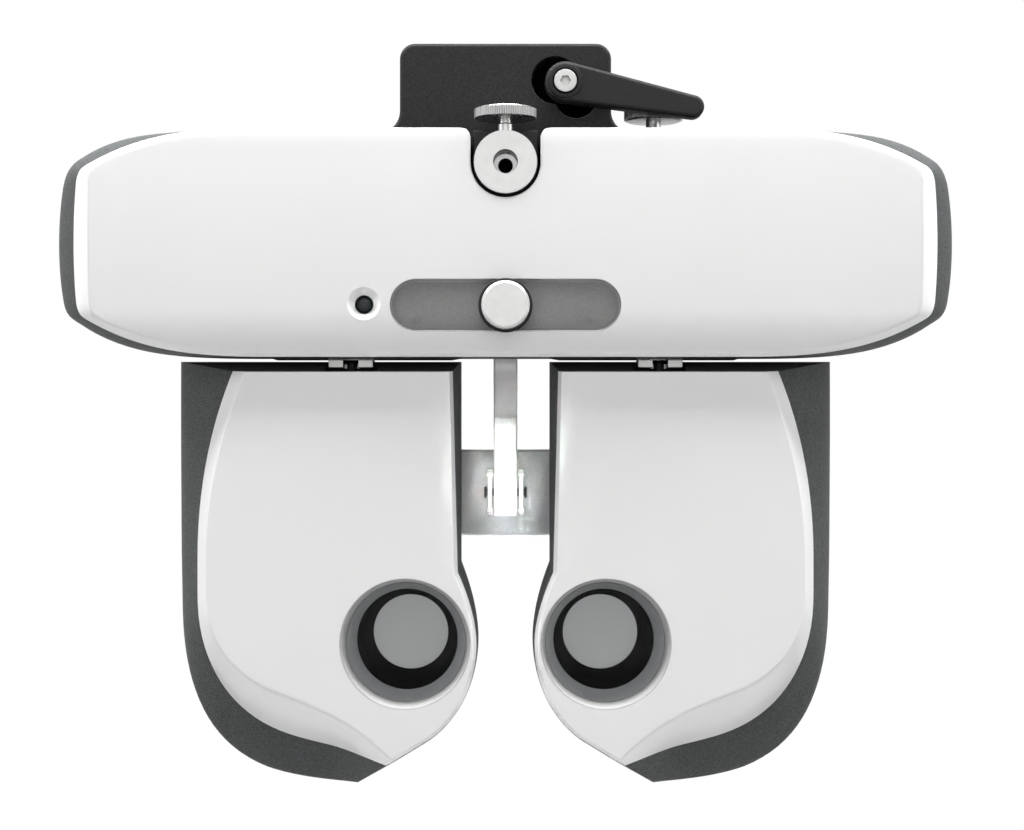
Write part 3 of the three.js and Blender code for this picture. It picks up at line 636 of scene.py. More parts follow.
def screws(name, spots, radius, depth, key, turn, material):
    """Cap screws on the spots, facing forwards with a turn of 0.5 and back with -0.5."""
    piece = make_piece(name, spots, [], material)
    piece.data.materials.clear()
    return SCREWS.grow(piece, material, Head_Radius=radius * MM, Head_Depth=depth * MM,
                       Key_Radius=key * MM, Turn=turn)


# ---- Body: white front cover and dark rear shell ----
def body_outline(flat, half, shoulder, side, bulge, low=None, rise=9.6):
    """The body from the front; low gives the shoulder and side of the lower corners."""
    def corner(spots):
        (sx, sz), (ex, ez) = spots
        return ([((flat + sx) / 2 - 4, half), (sx - 17, sz + rise * half / 42), (sx, sz)],
                [(sx + 4, sz - 2.3), (ex - 0.8, ez + 5), (ex, ez)])

    def flip(points, mx, mz):
        return [(x * mx, z * mz) for x, z in points]

    def back(corners, mx, mz):
        slope, turn = corners
        return [flip([turn[1], turn[0], slope[2]], mx, mz),
                flip([slope[1], slope[0], (flat, half)], mx, mz)]

    def end(mx, z, last, way):
        return [(bulge * mx, z * 0.4), (bulge * mx, last[1] * way * 0.4), (last[0] * mx, last[1] * way)]

    low = low or (shoulder, side)
    up, down = corner((shoulder, side)), corner(low)
    segments = [[(flat, half)], *up, end(1, side[1], low[1], -1), *back(down, 1, -1), [(-flat, -half)],
                *[flip(curve, -1, -1) for curve in down], end(-1, -low[1][1], side, 1), *back(up, -1, 1)]
    steps = [24, 16, 10, 14, 10, 16] * 2
    return [(x, z + BODY_MID) for x, z in outline((-flat, half), segments, steps)]


CREASE = body_outline(84, BODY_HALF - 1.2, (142.6, 28.7), (148.2, 21.5), 148.5, rise=8)
EDGE = body_outline(86, BODY_HALF, (147, 29), (153.2, 21.5), 154.4)
WIDE = body_outline(90, BODY_HALF, (155, 32), (161.6, 21), 163.6, ((155.3, 28.4), (161.5, 19.6)), 12)


def spine(points, shorten=0.56):
    """The line that the rings of the body close on."""
    return [(x * shorten, BODY_MID) for x, _ in points]


def face_y(x, z):
    """The front face rolls back towards the lower edge, and a little towards the upper one."""
    low = max(0.0, BODY_BOTTOM + 16 - z)
    high = max(0.0, z - BODY_TOP + 6)
    crown = max(0.0, -48 - z) ** 2 / 3000
    return BODY_FACE + crown + 80 - math.sqrt(80**2 - low**2) + 50 - math.sqrt(50**2 - high**2)


def edge_y(x, z):
    return max(BODY_EDGE, face_y(x, z) + 1.8)


def raised(ground, height):
    return lambda x, z: ground(x, z) + height


def swell(low, high, rim, widest, steps):
    """Rings of a casing's side, which rounds over from its rim to its widest section."""
    rings = []
    for share, depth in bezier((0, 0), (0.55, 0.25), (1.0, 0.55), (1, 1), steps):
        def y(x, z, depth=depth):
            return rim(x, z) + (widest - rim(x, z)) * depth

        rings.append(at_depth(mix(low, high, share), y))
    return rings


def turned_over(points, start, inward, y, depth, steps):
    """Rings of a casing's rounded rear edge."""
    turns = [math.pi / 2 * k / steps for k in range(1, steps + 1)]
    return [ring_at(points, start + inward * (1 - math.cos(a)), y + depth * math.sin(a)) for a in turns]


def body_cover():
    inner = inset(CREASE, 2.3)
    inside = raised(face_y, 2.3)
    rings = [at_depth(spine(inner), inside)]
    rings += [at_depth(mix(inner, spine(inner), share), inside) for share in (0.5, 0.25, 0)]
    rings += [ring_at(EDGE, 2.3, edge_y), ring_at(EDGE, 0.3, edge_y), at_depth(EDGE, raised(edge_y, -0.3))]
    for share, step in ((0.94, -0.55), (0.5, 0), (0.12, 0)):
        def y(x, z, share=share, step=step):
            front = face_y(x, z) + 0.2
            return front + (edge_y(x, z) - front) * share + step * 0.3

        rings.append(at_depth(mix(CREASE, EDGE, share), y))
    rings += [at_depth(mix(CREASE, EDGE, 0.03), raised(face_y, 0.24)),
              ring_at(CREASE, 0.4, raised(face_y, 0.05))]
    crown = inset(CREASE, 1)
    for share in (0, 0.03, 0.07, 0.11, 0.15, 0.2, 0.26, 0.32, 0.38, 0.44, 0.5, 0.6, 0.8, 1):
        rings.append(at_depth(mix(crown, spine(crown), share), face_y))
    cover = loft("body_front_cover", rings, LACQUER, caps=False)
    radius, flare = 12.4, 4.4
    left = arc(-radius - flare, BODY_TOP - flare, flare, 90, 0, 12)
    right = arc(radius + flare, BODY_TOP - flare, flare, 180, 90, 12)
    wide = radius + flare + 0.4
    notch = ([(-wide, BODY_TOP + 8)] + left + arc(0, PIVOT_Z, radius, 180, 360, 48) + right
             + [(wide, BODY_TOP + 8)])
    dimple = [(0, -46), (7.3, -46), (7.3, -38.02), (6.85, -37.9), (6.3, -37.5), (3.6, -35.6),
              (3.3, -35.2), (3.3, -30), (0, -30)]
    carve(cover, [
        lipped_cutter(notch, BODY_FACE - 0.02, -25, 1.1),
        lipped_cutter(stadium(0, RECESS_Z, *RECESS_HALF), BODY_FACE - 0.02, -25, 1.2),
        lathe(SIGHT_X, SIGHT_Z, dimple, 64),
    ])
    fit(cover, "body", "white_casing", "body_front_cover")


def body_shell():
    rim = raised(edge_y, 0.35)
    back = inset(WIDE, 8)
    rings = [at_depth(spine(WIDE), BODY_BACK - 2.5),
             at_depth(mix(back, spine(WIDE), 0.06), BODY_BACK - 2.5),
             ring_at(WIDE, 6, 30),
             ring_at(WIDE, 2.6, BODY_WIDE),
             ring_at(EDGE, 2.5, rim),
             *swell(inset(EDGE, 0.15), WIDE, rim, BODY_WIDE, 9),
             at_depth(WIDE, BODY_WIDE),
             ring_at(WIDE, 0.5, 2),
             ring_at(WIDE, 1.8, 18),
             ring_at(WIDE, 3, 30),
             *turned_over(WIDE, 3, 5, 30, 11, 8)]
    for share in (0.04, 0.4, 1):
        rings.append(at_depth(mix(back, spine(back), share), BODY_BACK))
    shell = loft("body_rear_shell", rings, CHARCOAL, caps=False)
    cuts = [block(-47, 47, -40, 27, -42, -20),
            block(-7, 7, 8, 36, BODY_BOTTOM - 5, BODY_BOTTOM + 8),
            upright(peg(0, 0, -45, -30, 3.6), *LEVEL_KNOB),
            peg(*CABLE_INLET, 34, 46, 7.5)]
    for side in SIDES.values():
        a, b = sorted((side * (HINGE_X - 20), side * (HINGE_X + 15)))
        cuts.append(block(a, b, -28, -14.5, BODY_BOTTOM - 5, BODY_BOTTOM + 8))
        vent = rounded_box(side * VENT_X - 27, side * VENT_X + 27, -104, -86, 3)
        cuts.append(loft("cutter", [at_depth(vent, 39.7), at_depth(vent, 45)], LACQUER))
    seam = [ring_at(back, 1.2 + d, BODY_BACK - 0.6 + e) for d, e in ((0, 2), (0, 0), (0.9, 0), (0.9, 2))]
    cuts.append(loft("cutter", seam + seam[:1], LACQUER, caps=False))
    carve(shell, cuts)
    fit(shell, "body", "dark_casing", "body_rear_shell")
    for name, side in SIDES.items():
        vent = make_piece(f"vent_slats_{name}", [], [], CHARCOAL)
        vent.data.materials.clear()
        SLATS.grow(vent, CHARCOAL, Slats=13, Pitch=4 * MM, Slat_Width=2.4 * MM,
                   Slat_Length=17.8 * MM, Slat_Depth=1.6 * MM, Start_X=(side * VENT_X - 24) * MM,
                   Start_Y=40.2 * MM, Start_Z=-95 * MM)
        fit(vent, "body", "dark_casing")
    spots = [(x, BODY_BACK + 0.1, z) for x in (-138, 138) for z in (-58, -92)]
    spots += [(x, BODY_BACK + 0.1, z) for x, z in ((-66, -50), (66, -50), (-26, -100), (26, -100))]
    fit(screws("casing_screws", spots, 2.3, 1.0, 1.2, -0.5, SCREW_STEEL), "body", "steel")
    frame_ring = box_piece("well_gasket", -46.7, 46.7, -31.5, 26.7, -38.6, -36.4, SOFT_BLACK, 0.4)
    carve(frame_ring, [
        block(-43.6, 43.6, -16, 24.6, -50, -20),
        block(-13.6, 13.6, -40, -10, -50, -20),
    ])
    fit(frame_ring, "body", "black_trim")


def recess_and_sight():
    tray = loft("knob_recess_tray", [at_depth(stadium(0, RECESS_Z, *half), y) for *half, y in (
        (40.8, 8.95, -28.6), (41, 9.15, -35.4), (40.9, 9.05, -35.5), (40.7, 8.85, -35.4),
        (40.4, 8.55, -31.7), (39.9, 8.05, -31.2), (37.5, 5.65, -31.2))], TRAY_GREY)
    carve(tray, [peg(0, KNOB_Z, -36, -25, 6.7)])
    fit(tray, "body", "grey_trim", "knob_recess_tray")
    spots = [(-32.4, -31.35, -93.3), (-32.4, -31.35, -102.6), (30.2, -31.35, -92.9),
             (30.2, -31.35, -102.3)]
    fit(screws("tray_screws", spots, 1.1, 0.7, 0.55, 0.5, TRAY_GREY), "body", "grey_trim")
    sight = turned("sight_lens", SIGHT_X, SIGHT_Z, [
        (0, -35.3), (1.4, -35.2), (2.4, -34.8), (3.0, -34.2), (3.1, -33.8), (5, -33.6), (5, -28.6),
        (0, -28.6)], SIGHT_GLASS, 48)
    fit(sight, "body", "dark_lens", "sight_lens")
    gland = turned("cable_inlet", *CABLE_INLET, [
        (4.6, 37.4), (4.6, 42.6), (5.0, 43.2), (8.0, 43.2), (8.9, 42.6), (9.0, 41.5), (7.1, 41.4),
        (7.1, 35.6), (0, 35.6), (0, 37.4)], BLACK_TRIM, 48)
    fit(gland, "body", "black_trim", "cable_inlet")


# ---- Forehead knob ----
def brow_knob():
    cap = turned("forehead_knob", 0, KNOB_Z, [
        (0, -44.5), (7.6, -44.5), (7.75, -44.42), (7.9, -44.2), (8.15, -44.2), (8.35, -44.1),
        (8.55, -43.8), (8.6, -43.4), (8.6, -40.6), (0, -40.6)], KNOB_METAL)
    fit(cap, "brow_knob", "aluminium", "forehead_knob")
    skirt = turned("forehead_knob_skirt", 0, KNOB_Z, [
        (0, -40.5), (9.3, -40.5), (9.6, -40.3), (9.6, -38.6), (9.4, -38.4), (6.2, -38.2),
        (6.2, -31.6), (2.8, -31.6), (2.8, -36), (0, -36)], BLACK_TRIM)
    fit(skirt, "brow_knob", "black_trim")


# ---- Mount bracket, rod holder and screws ----
LEVER_HUB = (21.6, -16.0)
LEVER_TURN = -math.atan2(9, 46)
POCKETS = [(18.2, -13.6, 8.6), (25.9, -20, 7.5)]


def mount_bracket():
    half, flare, corner = 38.8, 42.8, 5.6
    right = arc(half - corner, -corner, corner, 0, 90, 10)
    left = arc(-half + corner, -corner, corner, 90, 180, 10)
    down = bezier((-half, -24.5), (-half, -27.6), (-half - 1.4, -30), (-flare, -31.6), 8)
    up = [(-x, z) for x, z in reversed(down)]
    shape = [(-flare, -31.6), (-flare, -39), (flare, -39), (flare, -31.6)] + up + right + left + down
    bracket = slab("mount_bracket", shape, -14, 23, BLACK_COAT, 1.5)
    neck = [(11.6, -35), (-11.6, -35)] + arc(0, PIVOT_Z, 12.3, 195, 345, 32)
    carve(bracket, [
        sheet(neck, -34, -13, 0.8),
        block(0, 61, -4, 2, -50.5, -44.5, 0.6),
        block(10.5, 20, -4, 2, -50, -38),
        block(-9, 9, -14, 2, -50.5, -36),
        block(47, 61, -9.5, 2.5, -50.5, -44.5, 0.6),
    ], "UNION")
    pocket = [arc(x, z, wide, 0, 360, 48)[:-1] for x, z, wide in POCKETS]
    carve(bracket, [
        peg(0, PIVOT_Z, -40, -22.5, 11.6),
        block(-6, 6, -40, -22.5, -38, -30),
        peg(0, PIVOT_Z, -14.2, 5, 9.4),
        block(-9.4, 9.4, -14.2, 5, -60, PIVOT_Z),
        upright(peg(0, 0, -31, 5, 7.5), 0, 11),
        block(0, 60, 10.2, 11.8, -31, 5),
        *[lipped_cutter(p, -14.02, -5, 0.5) for p in pocket],
        peg(*LEVER_HUB, -20, 30, 2.9),
        upright(peg(0, 0, -60, -40, 3.5), *LEVEL_KNOB),
    ])
    carve(bracket, [peg(0, PIVOT_Z, -22.6, -5.8, 3.5)], "UNION")
    fit(bracket, "bracket", "black_metal", "mount_bracket")
    # Thin black discs in the lever pockets are painted shade: they darken the pocket floors.
    for k, (x, z, wide) in enumerate(POCKETS):
        near = -5.4 - k * 0.5
        floor = turned(f"pocket_painted_shade_{k + 1}", x, z, [
            (0, near), (wide - 0.2, near), (wide - 0.2, near + 0.3), (0, near + 0.3)],
            CHAMBER_BLACK, 64)
        carve(floor, [peg(*LEVER_HUB, -20, 30, 2.9)])
        fit(floor, "bracket", "black_metal")
    holder = turned("rod_holder", 0, PIVOT_Z, [
        (0, -22.8), (11.0, -22.8), (11.3, -23.1), (11.3, -38.1), (11.2, -38.4), (10.9, -38.5),
        (4.6, -38.5), (4.35, -38.4), (4.25, -38.1), (4.25, -27.4), (2.7, -27.2), (2.7, -24.6),
        (0, -24.6)], HOLDER_METAL, 128)
    carve(holder, [block(-13, 13, -40, -37.7, PIVOT_Z + 7.1, PIVOT_Z + 13),
                   upright(peg(0, 0, PIVOT_Z + 3, PIVOT_Z + 13, 2.1), 0, -30.5)])
    fit(holder, "bracket", "aluminium", "rod_holder")
    # A black disc deep in the rod bore is painted shade: it darkens the hole.
    bore_shade_disc = turned("rod_bore_painted_shade", 0, PIVOT_Z, [
        (0, -25.4), (2.2, -25.4), (2.6, -25.6), (2.6, -24.7), (0, -24.7)], CHAMBER_BLACK, 32)
    fit(bore_shade_disc, "bracket", "black_trim")


def knurled_screw(name, x, y, profile, rim, low, high, flutes, body, node):
    """A thumbscrew whose axis is Z, with a fluted rim between two heights."""
    screw = turned(name, 0, 0, profile, KNURL_STEEL, 96)
    upright(screw, x, y)
    FLUTES.grow(screw, KNURL_STEEL, 25, Rim_Radius=rim * MM, Flutes=flutes,
                Flute_Radius=(math.pi * rim / flutes) * 0.96 * MM, Height=(high - low) * MM,
                Centre_X=x * MM, Centre_Y=y * MM, Centre_Z=(low + high) / 2 * MM)
    fit(screw, body, "steel", node)


def thumbscrews():
    knurled_screw("rod_clamp_screw", 0, -30.5, [
        (0, -41.8), (1.7, -41.8), (1.75, -35), (2.8, -34.8), (2.8, -32.6), (2.6, -32.3),
        (2.25, -32.1), (2.25, -31), (9.6, -30.8), (10.4, -30.6), (10.9, -30.3), (10.9, -27.2),
        (10.6, -26.8), (9.4, -26.6), (0, -26.6)],
        10.9, -30.3, -27.2, 84, "rod_screw", "rod_clamp_screw")
    knurled_screw("levelling_knob", *LEVEL_KNOB, [
        (0, -60), (2.5, -60), (2.8, -59.6), (2.8, -27.4), (9.4, -27.3), (10.1, -27.1), (10.5, -26.8),
        (10.5, -23.5), (10.1, -23.2), (9.2, -22.9), (0, -22.9)],
        10.5, -26.8, -23.5, 84, "level_knob", "levelling_knob")


def clamp_lever():
    hub, tip, length = 7.3, 4.1, 47.0
    lean = math.degrees(math.asin((hub - tip) / length))
    shape = arc(0, 0, hub, 90 - lean, 270 + lean, 40) + arc(length, 0, tip, -90 + lean, 90 - lean, 24)
    cos, sin = math.cos(LEVER_TURN), math.sin(LEVER_TURN)
    shape = [(LEVER_HUB[0] + x * cos - z * sin, LEVER_HUB[1] + x * sin + z * cos) for x, z in shape]
    lever = slab("clamp_lever", shape, -26, -18, LEVER_COAT, 1.5)
    boss = lathe(*LEVER_HUB, [
        (0, -26.6), (5.7, -26.6), (6.1, -26.4), (6.3, -25.9), (6.3, -20), (0, -20)])
    carve(lever, [boss, peg(*LEVER_HUB, -18.5, -10, 5.6)], "UNION")
    carve(lever, [peg(*LEVER_HUB, -40, 0, 2.8), peg(*LEVER_HUB, -40, -23.5, 4.7)])
    fit(lever, "lever", "black_metal", "clamp_lever")
    screw = turned("clamp_screw", *LEVER_HUB, [
        (0, -27.2), (3.7, -27.2), (4.05, -27.05), (4.2, -26.7), (4.2, -24), (2.4, -23.9),
        (2.4, 19), (0, 19)], SCREW_STEEL, 64)
    carve(screw, [peg(*LEVER_HUB, -30, -24.9, 2.0, 6)])
    fit(screw, "lever", "steel", "clamp_screw")


# ---- Forehead rest ----
def forehead_rest():
    thick = 2.6
    front = bezier((18, -116), (18, -126), (28, -129.6), (31, -137.6), 16)
    back = bezier((33.6, -137), (30.4, -128), (18 + thick, -124.4), (18 + thick, -115.4), 16)
    side = ([(18, -106.3)] + front + [(31, -137.6), (34, -159.9), (34, -175.6), (36.6, -175.6),
            (36.6, -159.5)] + back + [(18 + thick, -115.4), (18 + thick, -106.3)])
    arm = lengthways(slab("forehead_arm", side, -4.6, 4.6, ARM_METAL, 0.5))
    ear = lengthways(sheet(rounded_box(36, 45.5, -170.5, -162.5, 2.5), -4.6, 4.6, 0.3))
    carve(arm, [ear], "UNION")
    carve(arm, [sideways(peg(0, 0, -10, 10, 1.8), *REST_PIN)])
    fit(arm, "brow_arm", "aluminium", "forehead_arm")
    pin = sideways(turned("forehead_pin", 0, 0, [
        (0, -8.4), (1.9, -8.4), (2.3, -8.1), (2.3, -7.5), (1.5, -7.4), (1.5, 7.4), (2.3, 7.5),
        (2.3, 8.1), (1.9, 8.4), (0, 8.4)], LEVER_COAT, 32), *REST_PIN)
    fit(pin, "brow_arm", "steel", "forehead_pin")
    lug = rounded_box(38.5, 50.7, -175.4, -157.6, 2.2)
    parts = [lengthways(sheet(lug, *span, 0.4)) for span in ((-7.2, -5.1), (5.1, 7.2))]
    parts.append(block(-7.2, 7.2, 48.7, 50.7, -175.4, -157.6, 0.3))
    parts += [block(x - 1.35, x + 1.35, 37.7, 40, z - 0.8, z + 0.8, 0.25)
              for z in (-159.6, -173.4) for x in (-6.15, 6.15)]
    clevis = joined("forehead_clevis", parts, LUG_METAL)
    carve(clevis, [sideways(peg(0, 0, -10, 10, 1.8), *REST_PIN)])
    fit(clevis, "brow_rest", "aluminium", "forehead_clevis")
    outer, inner = 81.4, 78.0
    turns = [-0.62, -0.36, -0.1235, 0.1235, 0.36, 0.62]
    near = [(outer * math.sin(a), outer * math.cos(a)) for a in turns]
    far = [(inner * math.sin(a), inner * math.cos(a)) for a in reversed(turns)]
    # the centre facet lies flat, and the outline stands on the arc's centre
    band = [(x, z - 51 - outer) for x, z in near + far]
    pad = upright(slab("forehead_pad", band, -184.1, -149.7, REST_GREY, 1.2, 20), 0, 0)
    fit(pad, "brow_rest", "rest_material", "forehead_pad")


# ---- Heads ----
STEPS = [24, 14, 4, 18, 14, 5, 18, 14, 24]


def head_outline(start, segments):
    points = outline(start, segments, STEPS)
    return [(EYE_X + u, HEAD_Z + h) for u, h in points]


FACE = head_outline((-15.8, 98.9), [
    [(57.0, 98.9)], [(64.2, 80), (71.1, 58), (71.1, 32.3)], [(71.1, 19)],
    [(71.1, 4), (62.6, -8.4), (47, -15.2)], [(31, -21), (17, -27), (5, -39.8)], [(-6, -33)],
    [(-16.5, -27), (-24, -14.5), (-24, 1.3)], [(-24, 9), (-20.8, 19.5), (-17.4, 26.3)],
    [(-15.8, 98.9)]])
BRIM = head_outline((-17, 99.3), [
    [(62.2, 99.3)], [(69.1, 82.3), (74.9, 60.3), (74.9, 32.3)], [(74.9, 20.3)],
    [(74.9, -7.7), (67, -24.7), (47, -32.7)], [(37, -36.7), (22, -39), (7.1, -43.0)], [(-6.5, -34.6)],
    [(-17.5, -28.5), (-25.6, -15), (-25.6, 1.3)], [(-25.6, 9.5), (-22, 20), (-18.8, 26.9)],
    [(-17, 99.3)]])
GIRTH = head_outline((-19.7, HEAD_TOP), [
    [(84.3, HEAD_TOP)], [(84.3, 80), (84.1, 60), (83.8, 32.3)], [(83.4, 10.3)],
    [(83.0, -18), (74.5, -38), (52.5, -46.8)], [(41, -50.8), (29, -51.6), (19.0, -52.6)], [(-5.6, -37.6)],
    [(-17, -31.2), (-26, -16.7), (-26, 1.3)], [(-26, 10.3), (-23, 20.3), (-19.7, 28.8)],
    [(-19.7, HEAD_TOP)]])


def smooth(value):
    t = min(1.0, max(0.0, value))
    return t * t * (3 - 2 * t)


def brim_y(x, z):
    """The white cover wraps further back along its lower outer edge."""
    down = smooth((15 - (z - HEAD_Z)) / 45)
    outward = smooth((x - EYE_X - 2) / 28)
    return HEAD_FACE + 4.5 + 16.5 * down * outward


def head_cover(name):
    rings = [ring_at(FACE, 2.6, HEAD_FACE + 2.3),
             ring_at(BRIM, 2.3, brim_y),
             ring_at(BRIM, 0.3, brim_y),
             at_depth(BRIM, raised(brim_y, -0.3))]
    for share in (0.93, 0.72, 0.5, 0.28, 0.16, 0.1, 0.06, 0.03):
        def y(x, z, share=share):
            fall = share - 0.05 if share > 0.1 else share * share * 5
            return HEAD_FACE + (brim_y(x, z) - HEAD_FACE - 0.3) * fall / 0.95

        rings.append(at_depth(mix(FACE, BRIM, share), y))
    rings += [at_depth(FACE, HEAD_FACE), ring_at(FACE, 1, HEAD_FACE), ring_at(FACE, 2, HEAD_FACE)]
    cover = loft(f"head_front_cover_{name}", rings, LACQUER)
    collar = lathe(EYE_X, EYE_Z, [
        (19, -30), (25.4, -30), (25.4, -24.6), (24.9, -24), (19, -24), (19, -30)])
    carve(cover, [collar], "UNION")
    carve(cover, [lathe(EYE_X, EYE_Z, [
        (0, -36), (23.55, -36), (23.55, -31.05), (23.47, -30.9), (23.4, -30.6), (22.05, -23),
        (0, -23)], 128)])
    fit_side(cover, name, "head", "white_casing", "head_front_cover")


def head_shell(name):
    rim = raised(brim_y, 0.35)
    rings = [ring_at(GIRTH, 7.4, HEAD_BACK - 2.5),
             ring_at(GIRTH, 4.4, 32),
             ring_at(GIRTH, 2.5, -4),
             ring_at(BRIM, 2.5, rim),
             *swell(inset(BRIM, 0.1), GIRTH, rim, HEAD_WIDE, 9),
             at_depth(GIRTH, HEAD_WIDE),
             ring_at(GIRTH, 0.4, 10),
             ring_at(GIRTH, 1.4, 28),
             *turned_over(GIRTH, 1.4, 4.4, 28, 13, 7),
             ring_at(GIRTH, 6.6, HEAD_BACK)]
    shell = loft(f"head_rear_shell_{name}", rings, CHARCOAL)
    carve(shell, [
        block(HINGE_X - 9.4, HINGE_X + 9.4, -45, -13.5, -120.9, -110),
        upright(peg(0, 0, -132, -110, 2.3), HINGE_X, HINGE_Y),
        peg(EYE_X, EYE_Z, 35, 45, 17.2, 96),
        lathe(EYE_X, EYE_Z, [(20.4, 40.3), (21.4, 40.3), (21.4, 45), (20.4, 45), (20.4, 40.3)])])
    fit_side(shell, name, "head", "dark_casing", "head_rear_shell")
    spots = [(EYE_X + u, HEAD_BACK + 0.1, HEAD_Z + h) for u, h in ((-10, 90), (70, 90), (70, 12), (24, -38))]
    heads = screws(f"head_screws_{name}", spots, 2.1, 1.0, 1.1, -0.5, SCREW_STEEL)
    fit_side(heads, name, "head", "steel")


OPTICS = {
    # The cone lining is the white cover's plastic drawn grey: its darker tone is painted shade.
    "aperture_cone": (CONE_PAINTED_SHADE, "grey_trim", [
        (23.4, -31), (23.15, -30.9), (22.95, -30.5), (21.75, -24.2), (22.1, -24.2),
        (23.3, -30.4), (23.43, -30.9), (23.4, -31)]),
    "aperture_bezel": (BEZEL_GREY, "grey_trim", [
        (21.3, -23.4), (18.4, -12.9), (18.6, -12.8), (19.6, -12.8), (22.6, -21), (22.6, -23.3),
        (22.4, -23.5), (21.4, -23.5), (21.3, -23.4)]),
    "front_window": (WINDOW_GLASS, "optical_glass", [
        (0, -26.0), (7, -25.87), (14, -25.45), (20.6, -24.75), (21.2, -24.5), (21.2, -23.8),
        (14, -24.4), (7, -24.8), (0, -24.95)]),
    "lens_tube": (CHAMBER_BLACK, "black_trim", [
        (18.3, -12.5), (18.1, 11.8), (17.6, 12.2), (14.1, 12.4), (14.1, 14), (19.6, 14),
        (19.6, -12.5), (18.3, -12.5)]),
    "eyepiece_ring": (BLACK_TRIM, "black_trim", [
        (14, 38.2), (14, 41), (13.2, 42), (12.5, 43), (12.6, 43.4), (13, 43.5), (15.2, 43.5),
        (15.8, 43.2), (16.3, 41.6), (16.8, 40), (16.8, 38.2), (14, 38.2)]),
}


def optics(name):
    for label, (material, slot, profile) in OPTICS.items():
        piece = turned(f"{label}_{name}", EYE_X, EYE_Z, profile, material, 128)
        piece.visible_shadow = material is not WINDOW_GLASS
        # the frame has no part for the cone
        fit_side(piece, name, "head", slot, *([] if label == "aperture_cone" else [label]))
    shield = slab(f"face_shield_{name}", rounded_box(15.5, 60, -243.6, -191.6, 17, 16), 44, 45.6,
                  SHIELD_CLEAR, 0.5)
    carve(shield, [peg(EYE_X, EYE_Z, 40, 50, 14.5, 96)])
    shield.visible_shadow = False
    fit_side(shield, name, "head", "clear_shield", "face_shield")


def filter_disc(name):
    """The turret in front of the eye: four openings and a grey blank that glows with painted light."""
    x, z = EYE_X + TURRET[0], EYE_Z + TURRET[1]
    disc = turned(f"auxiliary_disc_{name}", x, z, [
        (2.4, 15.2), (2.4, 17.4), (41.0, 17.4), (41.3, 17.1), (41.3, 15.5), (41.0, 15.2),
        (2.4, 15.2)], PAINTED_GLOW_OCCLUDER, 128)
    reach, start = math.hypot(*TURRET), math.atan2(-TURRET[1], -TURRET[0])
    places = [start + k * math.tau / 5 for k in range(1, 5)]
    carve(disc, [peg(x + reach * math.cos(a), z + reach * math.sin(a), 10, 20, 1.2 if k == 1 else 13)
                 for k, a in enumerate(places)])
    fit_side(disc, name, "filter_disc", "grey_trim", "auxiliary_disc")


def carriage(name):
    runner = box_piece("pd_carriage", HINGE_X - 10, HINGE_X + 10, -26.5, -15.5, -112.5, -82.5,
                       ROD_STEEL, 0.6)
    carve(runner, [sideways(peg(0, 0, 30, 80, 3.1), -21, z) for z in (-88, -107)]
          + [sideways(peg(0, 0, 30, 80, 2.6), -21, -97.5)])
    stem = block(HINGE_X - 8, HINGE_X + 8, -26.5, -16.5, -118, -112)
    lug = block(HINGE_X - 8, HINGE_X + 8, -27.5, -15.5, -119.5, -116.5, 0.35)
    carve(lug, [sheet(rounded_box(HINGE_X - 2.8, HINGE_X + 2.8, -122, -114, 0.3), -30, -18.2)])
    carve(stem, [block(HINGE_X - 2.8, HINGE_X + 2.8, -30, -18.2, -122, -114.6)])
    whole = joined(f"pd_carriage_{name}", [runner, stem, lug], ROD_STEEL)
    fit_side(whole, name, "carriage", "aluminium", "pd_carriage")
    pin = upright(turned(f"convergence_pin_{name}", 0, 0, [
        (0, -129), (1.6, -129), (1.8, -128.8), (1.8, -118.2), (1.6, -117.5), (1.1, -117.1),
        (0, -116.9)], BLACK_TRIM, 40), HINGE_X, HINGE_Y)
    fit_side(pin, name, "carriage", "black_trim", "convergence_pin")
    shape = [(HINGE_X - 40, 30), (HINGE_X - 36, 12.5), (HINGE_X + 28, 12.5), (HINGE_X + 28, 30)]
    plate = upright(slab(f"slot_cover_plate_{name}", shape, -116.35, -115.95, BLACK_TRIM), 0, 0)
    carve(plate, [block(HINGE_X - 8.4, HINGE_X + 8.4, -28.2, -15.1, -120, -110)])
    fit_side(plate, name, "carriage", "black_trim", "slot_cover_plate")


# ---- Frame parts that keep their own shape ----
KEPT_FINISHES = {
    "chassis_plate": ROD_STEEL, "guide_rod": ROD_STEEL, "pd_lead_screw": ROD_STEEL,
    "forehead_spindle": ROD_STEEL, "motor_carrier": ROD_STEEL, "control_board": BOARD,
    "pd_motor": BLACK_TRIM, "forehead_slide_block": BRASS, "cylinder_pinion": BRASS,
    "cylinder_lens": WINDOW_GLASS, "sphere_lens_cell": WINDOW_GLASS,
}


def finish_kept_parts():
    for name, piece in frame["nodes"].items():
        for start, material in KEPT_FINISHES.items():
            if name.startswith(start):
                piece.data.materials.clear()
                piece.data.materials.append(material)


# ---- Floor, light and camera ----
SOFTBOXES = {
    "overhead_strip": ((0, -0.13, 0.6), (1.8, 0.12), 23.5),
    "upper_softbox": ((0, -0.95, 0.75), (1.6, 0.8), 4.5),
    "front_softbox": ((0, -2.4, 0.1), (1.7, 1.7), 8.0),
    "left_softbox": ((-1.3, -0.35, 0.0), (0.5, 1.2), 6.0),
    "right_softbox": ((1.3, -0.35, 0.0), (0.5, 1.2), 6.0),
    "rear_softbox": ((0, 2.2, 0.9), (2.4, 1.2), 9.0),
}
SURROUND = (0.04, 0.4)  # strength below and above


def soft_light(name, place, aim, size, power):
    lamp = bpy.data.lights.new(name, "AREA")
    lamp.shape = "RECTANGLE"
    lamp.size, lamp.size_y = size
    lamp.energy = power
    light = bpy.data.objects.new(name, lamp)
    light.location = place
    light.rotation_euler = (Vector(aim) - Vector(place)).to_track_quat("-Z", "Y").to_euler()
    light.visible_camera = False
    bpy.context.collection.objects.link(light)
    return light


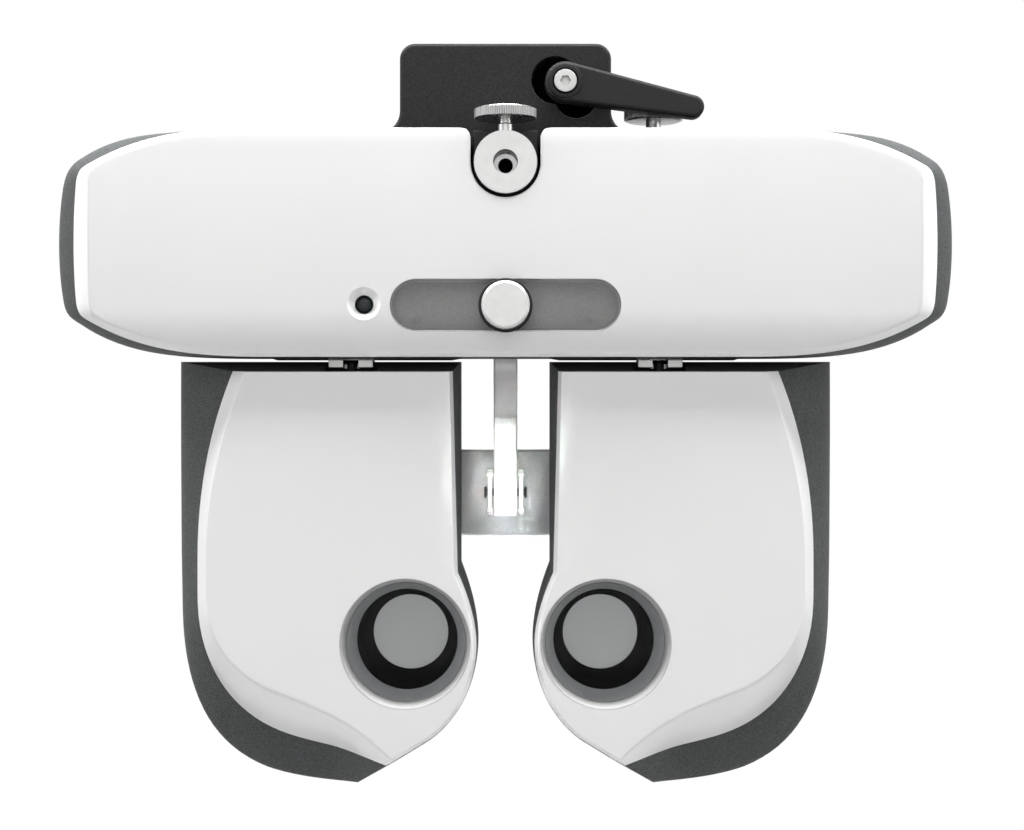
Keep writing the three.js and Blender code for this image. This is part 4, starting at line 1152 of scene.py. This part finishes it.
def studio():
    white = Finish("white_floor", (0.9, 0.9, 0.9), 0.9)
    white.tint(white.grain(60, 2), (0.92, 0.92, 0.92), (0.93, 0.93, 0.93))
    rim = [(x, y, -950) for x, y in arc(0, 0, 1600, 0, 360, 96)[:-1]]
    floor = make_piece("studio_floor", rim, [tuple(range(96))], white.material)
    for name, (place, size, power) in SOFTBOXES.items():
        soft_light(name, place, (0, -0.03, -0.14), size, power)
    beam = soft_light("rest_light", (0, -1.0, -0.162), (0, 0.05, -0.162), (0.018, 0.06), 0.0038)
    beam.data.spread = math.radians(2)
    world = bpy.data.worlds.new("studio_surround")
    bpy.context.scene.world = world
    world.use_nodes = True
    nodes, links = world.node_tree.nodes, world.node_tree.links
    seen = preset(nodes.new("ShaderNodeBackground"), Color=(1, 1, 1, 1), Strength=1.0)
    glow = nodes["Background"]
    way = nodes.new("ShaderNodeTexCoord")
    split = nodes.new("ShaderNodeSeparateXYZ")
    height = preset(nodes.new("ShaderNodeMapRange"), From_Min=-0.6, From_Max=0.8,
                    To_Min=SURROUND[0], To_Max=SURROUND[1])
    path = nodes.new("ShaderNodeLightPath")
    blend = nodes.new("ShaderNodeMixShader")
    bright = nodes.new("ShaderNodeMath")
    bright.operation = "MAXIMUM"
    for source, output, target, socket in (
            (way, "Generated", split, 0), (split, "Z", height, "Value"),
            (height, "Result", glow, "Strength"), (path, "Is Camera Ray", bright, 0),
            (path, "Is Glossy Ray", bright, 1), (bright, 0, blend, "Fac"), (glow, 0, blend, 1),
            (seen, 0, blend, 2), (blend, 0, nodes["World Output"], "Surface")):
        links.new(source.outputs[output], target.inputs[socket])
    bpy.context.scene.view_settings.view_transform = "Standard"
    camera = bpy.data.objects.new("camera", bpy.data.cameras.new("camera"))
    camera.location = (0, -0.727, -0.1419)
    camera.rotation_euler = (math.pi / 2, 0, 0)
    camera.data.lens = 68.36
    camera.data.shift_x, camera.data.shift_y = 6.5 / 1024, 15 / 1024
    camera.data.clip_start = 0.01
    bpy.context.collection.objects.link(camera)
    bpy.context.scene.camera = camera


studio()
body_cover()
body_shell()
recess_and_sight()
brow_knob()
mount_bracket()
thumbscrews()
clamp_lever()
forehead_rest()
for label in SIDES:
    head_cover(label)
    head_shell(label)
    optics(label)
    filter_disc(label)
    carriage(label)
finish_kept_parts()
